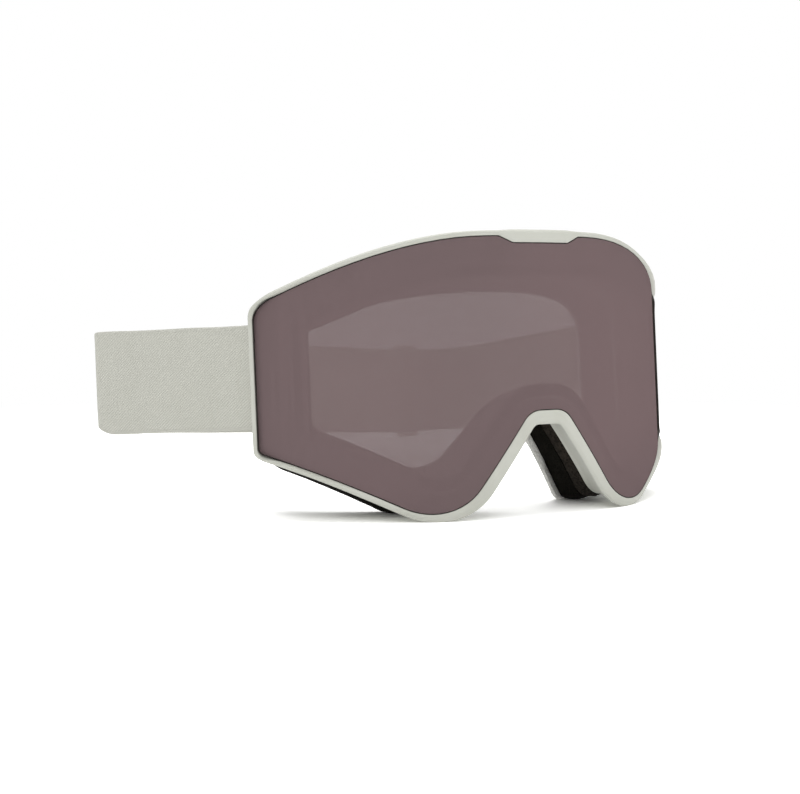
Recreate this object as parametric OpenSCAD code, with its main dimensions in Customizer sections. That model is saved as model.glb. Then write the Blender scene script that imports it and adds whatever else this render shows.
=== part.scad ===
/* [Lens pocket] */
// Width of the lens pocket, straight across
pocket_w = 180; // [170:1:190]
// Radius of the outer lens, bent about an upright axis
lens_r = 110; // [104:1:130]
// Width of the flat of the notch at the top middle
notch_w = 24; // [18:1:30]
// Depth of the notch
notch_d = 2.4; // [1.5:0.1:4]
// Run of each sloping side of the notch
notch_run = 5.5; // [4:0.5:8]
// Distance from the middle to the brow corner
brow_x = 55.6; // [52:0.2:59]
// Radius of the brow
brow_r = 120; // [60:1:120]
// Drop from the notch to the upper side corner
side_drop = 18.7; // [16:0.1:22]
// Height of the straight side
side_h = 50.2; // [44:0.2:56]
// Distance from the middle to the tip of the cheek lobe
lobe_x = 38.1; // [34:0.1:42]
// Drop from the notch to the tip of the cheek lobe
lobe_drop = 97.8; // [94:0.2:102]
// Radius of the cheek lobe
lobe_r = 20; // [14:0.5:24]
// Width of the top of the nose arch
nose_w = 15.2; // [12:0.2:19]
// Drop from the notch to the top of the nose arch
nose_drop = 58.3; // [54:0.1:62]
// Radius of the nose arch corners
nose_r = 8.5; // [6:0.5:9.5]

/* [Lens] */
// Thickness of the outer lens
outer_lens_t = 1.3; // [1:0.1:1.8]
// Thickness of the inner lens
inner_lens_t = 0.8; // [0.6:0.1:1.2]
// Air gap between the two lenses
air_gap = 3.2; // [2.6:0.1:4]
// Width of the foam seal between the lenses
spacer_w = 4; // [3:0.5:5]
// Thickness of the gasket behind the lens border
gasket_t = 1.7; // [1.5:0.1:2.2]
// Wall of the gasket round the lens edge
gasket_wall = 0.3; // [0.2:0.05:0.4]
// Running gap between the lens unit and its pocket
pocket_gap = 0.3; // [0.2:0.05:0.4]
// Radius of a magnet
magnet_r = 2.8; // [2:0.1:3]
// Thickness of a magnet
magnet_t = 1.2; // [0.8:0.1:1.3]

/* [Frame] */
// Width of the rim above the lens
rim_top = 1.9; // [1.6:0.1:2.6]
// Width of the rim beside the lens
rim_side = 0.7; // [0.6:0.1:1]
// Width of the rim below the lens
rim_bottom = 2.1; // [1.8:0.1:2.6]
// Height of the tab that fills the notch
rim_tab = 4.7; // [4:0.1:6]
// Width of the lip beside the nose
rim_nose = 4.8; // [4.2:0.1:5.4]
// Height of the lip over the nose
rim_bridge = 5; // [4:0.1:6]
// How far the rim stands proud of the lens
rim_proud = 0.3; // [0.1:0.05:0.6]
// How much further the rim stands out at its side corners
corner_proud = 1.5; // [0:0.1:2]
// Thickness of the seat behind the gasket
seat_t = 2; // [1.8:0.1:2.6]
// Width of the seat
seat_w = 9; // [8:0.5:10]
// Thickness of the skin of the frame
skin_t = 2.4; // [2:0.1:3]
// Thickness of the flange that carries the face foam
flange_t = 2; // [1.6:0.1:2.4]
// Length of a vent slot
vent_l = 12; // [8:0.5:14]
// Number of vent slots along the top
vent_count = 6; // [4:2:8]

/* [Face] */
// Radius of the face curve
face_r = 88; // [84:1:100]
// Distance from the lens front to the face side of the foam at the middle
face_front = 34.5; // [33.5:0.5:39]
// Width of the face foam
face_w = 150; // [144:1:154]
// Width of the opening in the face foam
opening_w = 133; // [126:1:137]
// Thickness of the base foam
base_foam_t = 7.5; // [5:0.5:9]
// Thickness of the middle foam
face_foam_t = 11.5; // [9:0.5:13]
// Thickness of the fleece
fleece_t = 3; // [2.5:0.5:4]
// Distance by which the nose of the wearer reaches forward into the foam
nose_in = 10; // [7:0.5:12]

/* [Strap] */
// Width of the strap
strap_w = 38; // [34:1:40]
// Thickness of the strap
strap_t = 1.8; // [1.4:0.1:2.2]
// Distance from the middle to the strap pin
pin_x = 81; // [80.5:0.1:82]
// Distance of the strap pin behind the flange
pin_back = 1.3; // [1:0.1:3]
// Radius of the strap pin
pin_r = 1.6; // [1.2:0.1:1.8]
// Distance from the middle to the outside of the strap bends
bend_x = 104; // [98:1:112]
// Distance from the lens front back to the left bend
left_bend_y = 155; // [140:1:165]
// Distance from the lens front back to the right bend
right_bend_y = 209; // [190:1:220]
// Radius of the bends
bend_r = 10; // [7:0.5:14]
// Rise of the strap at its left bend
bend_rise = 1; // [0:0.5:3]
// Sag of the strap at the adjuster and the right bend
ring_sag = 6; // [4:0.5:8]
// Distance of the adjuster from the right bend
ring_back = 30; // [26:1:40]
// Distance of the end of the loose tail from the left bend
tail_at = 30; // [20:1:60]
// Distance of the tail keeper from the left bend
keeper_at = 101; // [92:1:110]

/* [Stance] */
// Lean of the goggles back onto the foam, in degrees
lean = 4.3; // [3.6:0.1:5]

/* [Hidden] */
// Steps in each rounded corner, and in each straight edge between two corners
arc_steps = 6;
edge_steps = 4;
per_corner = arc_steps + edge_steps;

// Depth below the lens front at which the gasket and the lens edge are carried
seat_depth = outer_lens_t + gasket_t + pocket_gap;
web_t = 0.3;
step_depth = outer_lens_t + web_t + pocket_gap;
step_w = 1.6;
inner_lens_depth = outer_lens_t + air_gap;
foam_t = base_foam_t + face_foam_t + fleece_t;
rest_cut = 0.5;
strap_z = -side_drop - side_h / 2 + 1.1;
strap_gap = 0.25;
side_back = 11.5;
bar_gap = 0.3;
sew_gap = 0.02;
clip = 400;

// Right halves of the outlines, from the top middle round to the nose, as [x, z, corner radius]
pocket = [
    [notch_w / 2, 0, 2.2],
    [notch_w / 2 + notch_run, notch_d, 3],
    [brow_x, notch_d - 0.2, brow_r],
    [pocket_w / 2, -side_drop, 9],
    [pocket_w / 2, -side_drop - side_h, 2.5],
    [lobe_x, -lobe_drop, lobe_r],
    [nose_w / 2, -nose_drop, nose_r]
];
flange_x = face_w / 2 + 1.5;
flange_outer = [
    [10, notch_d - 3, 6],
    [24, notch_d - 2.6, 20],
    [brow_x - 3, notch_d - 4, 90],
    [flange_x, -side_drop - 2, 12],
    [flange_x, -side_drop - side_h + 1.5, 9],
    [lobe_x - 1, 2 - lobe_drop, 15],
    [nose_w / 2 - 0.4, -nose_drop - 1, 8]
];
flange_inner = [
    [9, notch_d - 15, 6],
    [22, notch_d - 15.4, 20],
    [brow_x - 10, notch_d - 18, 60],
    [opening_w / 2 + 4.5, -side_drop - 9.7, 6],
    [opening_w / 2 + 4, -side_drop - side_h + 8.4, 9],
    [lobe_x - 7, 14 - lobe_drop, 12],
    [nose_w / 2 + 2, 7.3 - nose_drop, 7]
];
face_inner = [
    [8, notch_d - 17, 6],
    [22, notch_d - 17.6, 20],
    [brow_x - 13.6, notch_d - 20, 50],
    [opening_w / 2, -side_drop - 9.7, 12],
    [opening_w / 2 - 1.5, -side_drop - side_h + 7.4, 7],
    [lobe_x - 10.1, 18 - lobe_drop, 11],
    [nose_w / 2 + 0.9, 2.8 - nose_drop, 6]
];

function left_of(d) = [-d[1], d[0]];
function unit(v) = v / norm(v);
function mix(a, b, s) = a * (1 - s) + b * s;
function every(d) = [for (i = [0 : 7]) d];
function lens_y(x, depth) = lens_r - sqrt(pow(lens_r - depth, 2) - x * x);
function face_y(x) = face_front + face_r - sqrt(face_r * face_r - x * x);

// An outline half moved out by one distance for each of its eight edges
function grown(v, d) = [
    for (i = [0 : len(v) - 1])
        let (
            here = [v[i][0], v[i][1]],
            a = i == 0 ? [1, 0] : unit(here - [v[i - 1][0], v[i - 1][1]]),
            b = i == len(v) - 1 ? [-1, 0] : unit([v[i + 1][0], v[i + 1][1]] - here),
            na = left_of(a) * d[i],
            nb = left_of(b) * d[i + 1],
            turn = cross(a, b),
            along = abs(turn) < 0.001 ? 0 : cross(nb - na, b) / turn,
            p = here + na + a * along,
            r = v[i][2] - sign(turn) * (d[i] + d[i + 1]) / 2
        )
        [p[0], p[1], max(0.4, r)]
];
function blended(v, w, s) = [for (i = [0 : len(v) - 1]) mix(v[i], w[i], s)];
function whole(v) = concat(v, [for (i = [len(v) - 1 : -1 : 0]) [-v[i][0], v[i][1], v[i][2]]]);

// Points of a corner of radius r at v, between the points before and after it
function corner(before, v, after, r, steps) =
    let (
        a = unit(before - v),
        b = unit(after - v),
        half = acos(a * b) / 2,
        c = v + unit(a + b) * r / sin(half),
        s = v + a * r / tan(half) - c,
        sense = cross(v - before, after - v) > 0 ? 1 : -1,
        start = atan2(s[1], s[0])
    )
    [for (k = [0 : steps])
        c + r * [cos(start + sense * k * (180 - 2 * half) / steps),
                 sin(start + sense * k * (180 - 2 * half) / steps)]];
// Every straight edge keeps at least a small share of its length between its two corners
function outline(v) =
    let (
        w = whole(v),
        n = len(w),
        at = function (i) [w[(i + n) % n][0], w[(i + n) % n][1]],
        turn = function (i) acos(unit(at(i) - at(i - 1)) * unit(at(i + 1) - at(i))),
        used = [for (i = [0 : n - 1]) w[i][2] * tan(turn(i) / 2)],
        share = [for (i = [0 : n - 1]) 0.97 * norm(at(i + 1) - at(i)) / (used[i] + used[(i + 1) % n])],
        r = [for (i = [0 : n - 1]) w[i][2] * min(1, share[i], share[(i + n - 1) % n])],
        arcs = [for (i = [0 : n - 1]) corner(at(i - 1), at(i), at(i + 1), r[i], arc_steps)]
    )
    [for (i = [0 : n - 1])
        each concat(arcs[i], [for (k = [1 : edge_steps - 1])
            mix(arcs[i][arc_steps], arcs[(i + 1) % n][0], k / edge_steps)])];

function smooth(t) = let (u = max(0, min(1, t))) u * u * (3 - 2 * u);
// Share of the extra rise that the rim has at a point: whole at the side corners, none beside the lens
function flare(p) =
    smooth((abs(p[0]) - 55) / 25) * smooth((abs(p[1] + side_drop + side_h / 2) - side_h / 2 + 1) / 5);
// An outline laid on the lens curve at a depth, or on the face curve in front of the face
function on_lens(v, depth) = [for (p = outline(v)) [p[0], lens_y(p[0], depth), p[1]]];
function on_rim(v, depth, rise) = [for (p = outline(v))
    [p[0], lens_y(p[0], depth - rise * flare(p)), p[1]]];
// The same with its sides cut square to the lens, so that they draw in with the depth. What lies
// beyond the cut slides in along the edges above and below.
function in_pocket(v, depth) =
    let (
        widest = v[3][0] * (lens_r - depth) / lens_r,
        fall = (lobe_drop - side_drop - side_h) / (pocket_w / 2 - lobe_x)
    )
    [for (p = outline(v))
        let (
            over = max(0, abs(p[0]) - widest),
            x = sign(p[0]) * min(abs(p[0]), widest)
        )
        [x, lens_y(x, depth), p[1] + over * (p[1] > -side_drop - side_h / 2 ? 1 : -fall)]];
function on_face(v, ahead) = [for (p = outline(v)) [p[0], face_y(p[0]) - ahead, p[1]]];
// Share of the nose depth by which the foam is thinner at a point: none away from the nose
function nose_share(p) = p[1] < -nose_drop / 2 ? smooth(1 - abs(p[0]) / lobe_x) : 0;
function on_foam(v, ahead) = [for (p = outline(v))
    [p[0], face_y(p[0]) - ahead - nose_in * nose_share(p) * (1 - ahead / foam_t), p[1]]];

// Closed solid through a round of loops that have the same number of points. The last loop closes on
// the first with the other diagonal, so that a layer lies snug on the layer under it.
module ring(loops) {
    m = len(loops);
    n = len(loops[0]);
    polyhedron(
        points = [for (loop = loops) each loop],
        faces = [for (j = [0 : m - 1], i = [0 : n - 1])
            let (
                a = j * n + i,
                b = j * n + (i + 1) % n,
                c = ((j + 1) % m) * n + (i + 1) % n,
                d = ((j + 1) % m) * n + i
            )
            each (j < m - 1 ? [[a, c, b], [a, d, c]] : [[a, d, b], [b, d, c]])]);
}

// A flat outline carried through from front to back
module prism(v, y0 = -10, y1 = 90) {
    translate([0, y1, 0])
        rotate([90, 0, 0])
            linear_extrude(y1 - y0)
                polygon(outline(v));
}
module lens_shell(d0, d1) {
    translate([0, lens_r, -lobe_drop - 20])
        difference() {
            cylinder(r = lens_r - d0, h = lobe_drop + 40, $fn = 180);
            translate([0, 0, -1])
                cylinder(r = lens_r - d1, h = lobe_drop + 42, $fn = 180);
        }
}
// All that lies between two upright planes from the lens axis to the side edges of an outline
module fan(v) {
    side = asin(v[3][0] / lens_r);
    reach = 3 * lens_r;
    translate([0, lens_r, -lobe_drop - 30])
        linear_extrude(lobe_drop + 60)
            polygon([[0, 0], reach * [-sin(side), -cos(side)], reach * [sin(side), -cos(side)]]);
}
// Places its children at a point of the lens, with +Z running into the lens
module at_lens(p, depth) {
    translate([0, lens_r, p[1]])
        rotate([0, 0, asin(p[0] / lens_r)])
            translate([0, depth - lens_r, 0])
                rotate([-90, 0, 0])
                    children();
}

lens_outline = grown(pocket, every(-gasket_wall - pocket_gap));
web_outline = grown(pocket, every(-pocket_gap));
step_outline = grown(pocket, every(-step_w));
gasket_outline = grown(pocket, every(-step_w - pocket_gap));
window_d = [2 - seat_w, 1 - seat_w, -seat_w, -seat_w, -seat_w, 0.5 - seat_w, 4.5 - seat_w, 4.5 - seat_w];
window = grown(pocket, window_d);
inner_lens_outline = grown(window, every(-0.6));
spacer_inside = grown(inner_lens_outline, every(-spacer_w));
rim_d = [rim_tab, rim_tab * 0.7, rim_top, rim_top, rim_side, rim_bottom, rim_nose, rim_bridge];
rear_d = [rim_tab - 1, rim_tab * 0.7 - 1, rim_top - 1.3, rim_top - 1.6, rim_side - 3.7,
    rim_bottom - 2.6, rim_nose - 2.4, rim_bridge - 1];
// The pocket outline moved out by one distance for each edge, its notch filled up to the tab
function rimmed(d) =
    let (v = grown(pocket, d))
    concat([[notch_w / 2, d[0], 4], [notch_w / 2 + notch_run, notch_d + d[2], 12]],
        [for (i = [2 : 6]) v[i]]);

// Where the floor lies below the lens notch, seen square to the floor
function height(y, z) = z * cos(lean) - y * sin(lean);
function lowest(v, y_of) = min([for (p = outline(v)) height(y_of(p[0]), p[1])]);
floor_z = lowest(rimmed(rim_d), function (x) lens_y(x, 1.5)) + rest_cut;
face_outer_trial = [
    [8, notch_d - 3.4, 6],
    [22, notch_d - 3.8, 20],
    [brow_x - 7, notch_d - 6, 80],
    [face_w / 2, -side_drop - 4, 12],
    [face_w / 2, -side_drop - side_h - 3.6, 9],
    [lobe_x - 1.1, 3 - lobe_drop, 9],
    [nose_w / 2 - 1.6, -nose_drop - 5, 6]
];
// The cheek lobes of the foam reach down until they rest on the floor too
foam_drop = lowest(face_outer_trial, function (x) face_y(x) - fleece_t) - floor_z + rest_cut;
face_outer = [for (i = [0 : 6])
    face_outer_trial[i] - (i == 5 ? [0, foam_drop / cos(lean), 0] : [0, 0, 0])];

// The strap pin stands behind the flange, and behind the sides of the lens where these reach further
flange_y = face_y(flange_x) - foam_t;
pin_y = max(flange_y + pin_back, lens_y(pocket_w / 2, 0) + side_back);
// Straight runs of the strap, seen from above
wrap_r = pin_r + bar_gap + strap_t / 2;
left_pin = [-pin_x, pin_y];
right_pin = [pin_x, pin_y];
left_bend = [strap_t / 2 - bend_x, left_bend_y];
right_bend = [bend_x - strap_t / 2, right_bend_y];
// Direction of a run that leaves the loop round a pin on its outside and meets a bend
function leaving(pin, bend, side) =
    let (
        d = unit(bend - pin),
        a = side * asin(wrap_r / norm(bend - pin))
    )
    [d[0] * cos(a) - d[1] * sin(a), d[0] * sin(a) + d[1] * cos(a)];
left_u = leaving(left_pin, left_bend, -1);
right_u = leaving(right_pin, right_bend, 1);
back_u = unit(right_bend - left_bend);
left_n = left_of(left_u);
right_n = -left_of(right_u);
left_start = left_pin + left_n * wrap_r;
right_start = right_pin + right_n * wrap_r;
back_n = left_of(back_u);
back_l = norm(right_bend - left_bend);

// Ring near the right bend, and the levels of the strap along its way
ring_at = back_l - ring_back;
ring_bar_r = 1.4;
ring_bar_x = 5.5;
ring_wrap_r = ring_bar_r + bar_gap + strap_t / 2;
ring_n = -(strap_t + strap_gap) / 2;
ring_clear = 0.5;
ring_rail = 1.8;
slope = (-ring_sag - bend_rise) / ring_at;
tail_n = -strap_t - strap_gap;
sewn_l = 20;

function back(u, n) = left_bend + back_u * (ring_at + u) + back_n * n;
function beside(start, u_dir, n_dir, u, n) = start + u_dir * u + n_dir * n;
function stop(p, z, r) = [p[0], p[1], z, r];

// Way of a strap end round its pin, from the sewn end to the outer run
function pin_way(start, u, n) = [
    stop(beside(start, u, n, sewn_l, -strap_t - strap_gap), 0, 0),
    stop(beside(start, u, n, 10, -strap_t - strap_gap), 0, 4),
    stop(beside(start, u, n, 3, -2 * wrap_r), 0, 4),
    stop(beside(start, u, n, -wrap_r, -2 * wrap_r), 0, wrap_r * 0.98),
    stop(beside(start, u, n, -wrap_r, 0), 0, wrap_r * 0.98)
];
// Way of a strap end round a bar of the ring; side is -1 for the left bar and 1 for the right one
function ring_way(side) = [
    stop(back(side * 9.5, 0), -ring_sag, 4),
    stop(back(side * 6.2, ring_n + ring_wrap_r), -ring_sag, 4),
    stop(back(side * (ring_bar_x - ring_wrap_r), ring_n + ring_wrap_r), -ring_sag, ring_wrap_r * 0.98),
    stop(back(side * (ring_bar_x - ring_wrap_r), ring_n - ring_wrap_r), -ring_sag, ring_wrap_r * 0.98),
    stop(back(side * 6.2, ring_n - ring_wrap_r), -ring_sag, 4),
    stop(back(side * 9.5, tail_n), -ring_sag, 4)
];
left_way = concat(
    pin_way(left_start, left_u, left_n),
    [stop(left_bend, bend_rise, bend_r)],
    ring_way(-1),
    [stop(back(tail_at - ring_at, tail_n), bend_rise + slope * tail_at, 0)]);
right_way = concat(
    pin_way(right_start, right_u, right_n),
    [stop(right_bend, -ring_sag, bend_r)],
    ring_way(1),
    [stop(back(17, tail_n), -ring_sag, 0)]);

// Centre line of a band: its corners rounded, with the level carried along
function band_line(way) = [
    for (i = [0 : len(way) - 1])
        let (flat = function (k) [way[k][0], way[k][1]])
        each (i == 0 || i == len(way) - 1
            ? [[way[i][0], way[i][1], way[i][2]]]
            : [for (p = corner(flat(i - 1), flat(i), flat(i + 1), way[i][3], 8)) [p[0], p[1], way[i][2]]])
];
// Closed solid through a row of four-cornered sections
module sweep(sections) {
    m = len(sections);
    polyhedron(
        points = [for (section = sections) each section],
        faces = concat(
            [[0, 1, 2], [0, 2, 3], [4 * m - 2, 4 * m - 3, 4 * m - 4], [4 * m - 1, 4 * m - 2, 4 * m - 4]],
            [for (i = [0 : m - 2], k = [0 : 3])
                let (
                    a = 4 * i + k,
                    b = 4 * i + (k + 1) % 4
                )
                each [[a, a + 4, b + 4], [a, b + 4, b]]]));
}
// A flat band of the strap's section along a way, standing on edge
module band(way) {
    line = band_line(way);
    m = len(line);
    flat = [for (p = line) [p[0], p[1]]];
    side = [for (i = [0 : m - 1]) left_of(unit(flat[min(i + 1, m - 1)] - flat[max(i - 1, 0)]))];
    sweep([for (i = [0 : m - 1])
        [for (c = [[1, -1], [1, 1], [-1, 1], [-1, -1]])
            let (p = flat[i] + side[i] * c[0] * strap_t / 2)
            [p[0], p[1], strap_z + line[i][2] + c[1] * strap_w / 2]]]);
}
// Places its children on the back run, with +X along the strap and +Y to its outside
module on_back(d, level) {
    p = left_bend + back_u * d;
    translate([p[0], p[1], strap_z + level])
        rotate([0, 0, atan2(back_u[1], back_u[0])])
            children();
}
module block(x0, x1, y0, y1, z0, z1) {
    translate([x0, y0, z0])
        cube([x1 - x0, y1 - y0, z1 - z0]);
}

// Middle of the length of the object, taken from the nose lip to the back of the strap
nose_front = min([for (p = outline(rimmed(rim_d)))
    lens_y(p[0], -rim_proud) * cos(lean) + p[1] * sin(lean)]);
strap_back = max([for (p = band_line(right_way))
    (p[1] + strap_t / 2) * cos(lean) + (strap_z + p[2] + strap_w / 2) * sin(lean)]);
mid_y = (nose_front + strap_back) / 2;

// The goggles are drawn upright about the lens and then leaned back on the floor
module stand() {
    translate([0, -mid_y, -floor_z])
        rotate([-lean, 0, 0])
            children();
}
module stand_cut() {
    difference() {
        stand() children();
        translate([-clip / 2, -clip / 2, -clip])
            cube(clip);
    }
}

// Magnets sit in the middle of the seat: at the brow, at the side and below the cheek
magnet_depth = seat_depth + magnet_t / 2;
seat_inside = outline(window);
seat_outside = in_pocket(step_outline, magnet_depth);
magnet_spots = [for (i = [2 * per_corner + 4, 3 * per_corner + arc_steps + 2, 4 * per_corner + arc_steps + 2])
    [(seat_inside[i][0] + seat_outside[i][0]) / 2 * lens_r / (lens_r - magnet_depth),
        (seat_inside[i][1] + seat_outside[i][2]) / 2]];
magnet_slip = 0.05;
module at_magnets(depth) {
    for (side = [-1, 1], p = magnet_spots)
        at_lens([side * p[0], p[1]], depth)
            children();
}

module outer_lens() {
    color([0.42, 0.34, 0.35, 0.75])
        stand()
            intersection() {
                lens_shell(0, outer_lens_t);
                prism(lens_outline);
                fan(lens_outline);
            }
}
module inner_lens() {
    color([0.75, 0.75, 0.78, 0.4])
        stand()
            intersection() {
                lens_shell(inner_lens_depth, inner_lens_depth + inner_lens_t);
                prism(inner_lens_outline);
            }
}
module lens_spacer() {
    color([0.12, 0.12, 0.12])
        stand()
            difference() {
                intersection() {
                    lens_shell(outer_lens_t, inner_lens_depth);
                    prism(inner_lens_outline);
                }
                prism(spacer_inside, -11, 91);
            }
}
module lens_gasket() {
    color([0.08, 0.08, 0.08])
        stand()
            difference() {
                union() {
                    intersection() {
                        lens_shell(0.4, outer_lens_t + web_t);
                        prism(web_outline);
                        fan(web_outline);
                    }
                    intersection() {
                        lens_shell(outer_lens_t + web_t / 2, outer_lens_t + gasket_t);
                        prism(gasket_outline);
                        fan(gasket_outline);
                    }
                }
                intersection() {
                    lens_shell(-1, outer_lens_t);
                    prism(lens_outline, -12, 92);
                    fan(lens_outline);
                }
                prism(grown(window, every(0.5)), -11, 91);
                at_magnets(outer_lens_t + gasket_t - magnet_t - magnet_slip)
                    cylinder(r = magnet_r + magnet_slip, h = magnet_t + 1);
            }
}
module lens_magnets() {
    color([0.6, 0.6, 0.62])
        stand()
            at_magnets(outer_lens_t + gasket_t - magnet_t)
                cylinder(r = magnet_r, h = magnet_t - magnet_slip);
}
module frame_magnets() {
    color([0.6, 0.6, 0.62])
        stand()
            at_magnets(seat_depth + magnet_slip)
                cylinder(r = magnet_r, h = magnet_t);
}

module frame_shell() {
    seat_back = seat_depth + seat_t;
    ring([
        in_pocket(pocket, 0),
        on_rim(rimmed(rim_d * 0.35), -rim_proud, corner_proud * 0.5),
        on_rim(rimmed(rim_d * 0.8), -rim_proud * 0.7, corner_proud),
        on_rim(rimmed(rim_d), 0.8, corner_proud),
        on_lens(rimmed(rear_d), seat_back + 0.1),
        on_face(flange_outer, foam_t + flange_t),
        on_face(flange_outer, foam_t),
        on_face(flange_inner, foam_t),
        on_face(flange_inner, foam_t + flange_t),
        on_face(grown(flange_outer, every(-skin_t)), foam_t + flange_t),
        on_lens(rimmed(rear_d - every(skin_t)), seat_back),
        on_lens(window, seat_back),
        on_lens(window, seat_depth),
        in_pocket(step_outline, seat_depth),
        in_pocket(step_outline, step_depth),
        in_pocket(pocket, step_depth)
    ]);
}
lug_t = 3;
lug_r = pin_r + 1.4;
lug_gap = 0.7;
module pin_lug() {
    hull() {
        cylinder(r = lug_r, h = lug_t, $fn = 32);
        translate([-5.5, flange_y - pin_y - 7.5, 0])
            cube([7, 3, lug_t]);
    }
}
module at_pins() {
    for (side = [-1, 1])
        translate([side * pin_x, pin_y, strap_z])
            children();
}
module pin_lugs() {
    lug_z = strap_w / 2 + lug_gap;
    for (side = [-1, 1], z = [lug_z, -lug_z - lug_t])
        translate([side * pin_x, pin_y, strap_z + z])
            mirror([side > 0 ? 0 : 1, 0, 0])
                pin_lug();
}
function top_z(x) = notch_d - pow(max(0, abs(x) - 13), 2) / (2 * brow_r);
vent_pitch = vent_l + 6;
vent_gap = 3.4;
module vent_slots() {
    for (i = [0 : vent_count - 1]) {
        x = (i - (vent_count - 1) / 2) * vent_pitch;
        y0 = lens_y(x, seat_depth + seat_t);
        y1 = face_y(x) - foam_t - flange_t;
        translate([x, (y0 + y1) / 2, top_z(x)])
            rotate([0, 0, asin(x / lens_r)])
                cube([vent_l, vent_gap, 14], center = true);
    }
}
module frame() {
    color([0.84, 0.84, 0.8])
        stand_cut()
            difference() {
                union() {
                    frame_shell();
                    pin_lugs();
                }
                at_pins()
                    cylinder(r = pin_r + 0.02, h = strap_w + 20, center = true);
                vent_slots();
                at_magnets(seat_depth - 1)
                    cylinder(r = magnet_r + magnet_slip, h = magnet_t + 1.1);
            }
}
module strap_pin(side) {
    color([0.7, 0.7, 0.72])
        stand()
            translate([side * pin_x, pin_y, strap_z])
                cylinder(r = pin_r, h = strap_w + 2 * (lug_gap + lug_t), center = true);
}
module left_strap_pin() { strap_pin(-1); }
module right_strap_pin() { strap_pin(1); }

// Foam in the channel between the seat and the flange, along some steps of the outline
module channel_foam(first, last) {
    slip = 0.3;
    depth = 4;
    wall = outline(grown(flange_outer, every(-skin_t - slip)));
    inside = outline(grown(flange_outer, every(-skin_t - slip - depth)));
    n = len(wall);
    front = function (p) [p[0], lens_y(p[0], seat_depth + seat_t) + slip, p[1]];
    rear = function (p) [p[0], face_y(p[0]) - foam_t - flange_t - slip, p[1]];
    sweep([for (i = [first : last])
        let (
            a = wall[(i + n) % n],
            b = inside[(i + n) % n]
        )
        [rear(a), front(a), front(b), rear(b)]]);
}
module top_vent_foam() {
    reach = 2 * per_corner + arc_steps;
    color([0.2, 0.2, 0.2])
        stand()
            channel_foam(-reach - edge_steps, reach);
}
module cheek_vent_foam(side) {
    first = 4 * per_corner + arc_steps;
    last = 5 * per_corner;
    count = 14 * per_corner - edge_steps;
    color([0.2, 0.2, 0.2])
        stand()
            channel_foam(side > 0 ? first : count - last, side > 0 ? last : count - first);
}
module left_vent_foam() { cheek_vent_foam(-1); }
module right_vent_foam() { cheek_vent_foam(1); }

// One layer of the face foam, from s0 to s1 of its whole thickness, with sides that swell a little
module foam_layer(s0, s1, swell, crown) {
    outer = function (s) blended(flange_outer, face_outer, s);
    inner = function (s) blended(flange_inner, face_inner, s);
    mid = (s0 + s1) / 2;
    ring([
        on_foam(outer(s0), foam_t * (1 - s0)),
        on_foam(grown(outer(mid), every(swell)), foam_t * (1 - mid)),
        on_foam(grown(outer(s1), every(-crown)), foam_t * (1 - s1)),
        on_foam(grown(inner(s1), every(crown)), foam_t * (1 - s1)),
        on_foam(grown(inner(mid), every(-swell)), foam_t * (1 - mid)),
        on_foam(inner(s0), foam_t * (1 - s0))
    ]);
}
base_s = base_foam_t / foam_t;
face_s = (base_foam_t + face_foam_t) / foam_t;
module base_foam() {
    color([0.13, 0.11, 0.1])
        stand_cut()
            foam_layer(0, base_s, 0.5, 0);
}
module face_foam() {
    color([0.05, 0.05, 0.045])
        stand_cut()
            foam_layer(base_s, face_s, 0.6, 0);
}
module fleece() {
    color([0.72, 0.72, 0.7])
        stand_cut()
            foam_layer(face_s, 1, 0.9, 0.6);
}

module left_band() {
    color([0.8, 0.8, 0.77])
        stand()
            band(left_way);
}
module right_band() {
    color([0.8, 0.8, 0.77])
        stand()
            band([for (i = [len(right_way) - 1 : -1 : 0]) right_way[i]]);
}
module adjuster() {
    inner_h = strap_w + 2 * ring_clear;
    color([0.75, 0.75, 0.72])
        stand()
            on_back(ring_at, -ring_sag)
                translate([0, ring_n, 0]) {
                    for (x = [-ring_bar_x, ring_bar_x])
                        translate([x, 0, 0])
                            cylinder(r = ring_bar_r, h = inner_h + 2 * ring_rail, center = true, $fn = 48);
                    cylinder(r = ring_bar_r - 0.2, h = inner_h + 1, center = true, $fn = 48);
                    for (z = [-1, 1])
                        translate([0, 0, z * (inner_h + ring_rail) / 2])
                            cube([2 * ring_bar_x, 2 * ring_bar_r, ring_rail], center = true);
                }
}
keeper_l = 11;
keeper_wall = 1.4;
keeper_slip = 0.4;
module tail_keeper() {
    inner_n = 2 * strap_t + strap_gap + 2 * keeper_slip;
    inner_h = strap_w + 1.6;
    color([0.75, 0.75, 0.72])
        stand()
            on_back(keeper_at, bend_rise + slope * keeper_at)
                translate([0, ring_n, 0])
                    difference() {
                        cube([keeper_l, inner_n + 2 * keeper_wall, inner_h + 2 * keeper_wall], center = true);
                        cube([keeper_l + 2, inner_n, inner_h], center = true);
                    }
}
tack_l = 6;
tack_h = strap_w - 8;
tack_t = 0.4;
module tack(start, u, n, level, along) {
    p = start + u * along - n * (strap_t * 1.5 + strap_gap + sew_gap + tack_t / 2);
    translate([p[0], p[1], strap_z + level])
        rotate([0, 0, atan2(u[1], u[0])])
            cube([tack_l, tack_t, tack_h], center = true);
}
module bartacks() {
    color([0.9, 0.9, 0.88])
        stand() {
            tack(left_start, left_u, left_n, 0, sewn_l - 4);
            tack(right_start, right_u, right_n, 0, sewn_l - 4);
            tack(back(0, 0), back_u, back_n, -ring_sag, 13.4);
        }
}

outer_lens();
inner_lens();
lens_spacer();
lens_gasket();
lens_magnets();
frame();
frame_magnets();
top_vent_foam();
left_vent_foam();
right_vent_foam();
base_foam();
face_foam();
fleece();
left_strap_pin();
right_strap_pin();
left_band();
right_band();
adjuster();
tail_keeper();
bartacks();
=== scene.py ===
"""Snowboard goggles: bent lens, white frame, layered face foam and a woven strap."""

from __future__ import annotations

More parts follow.
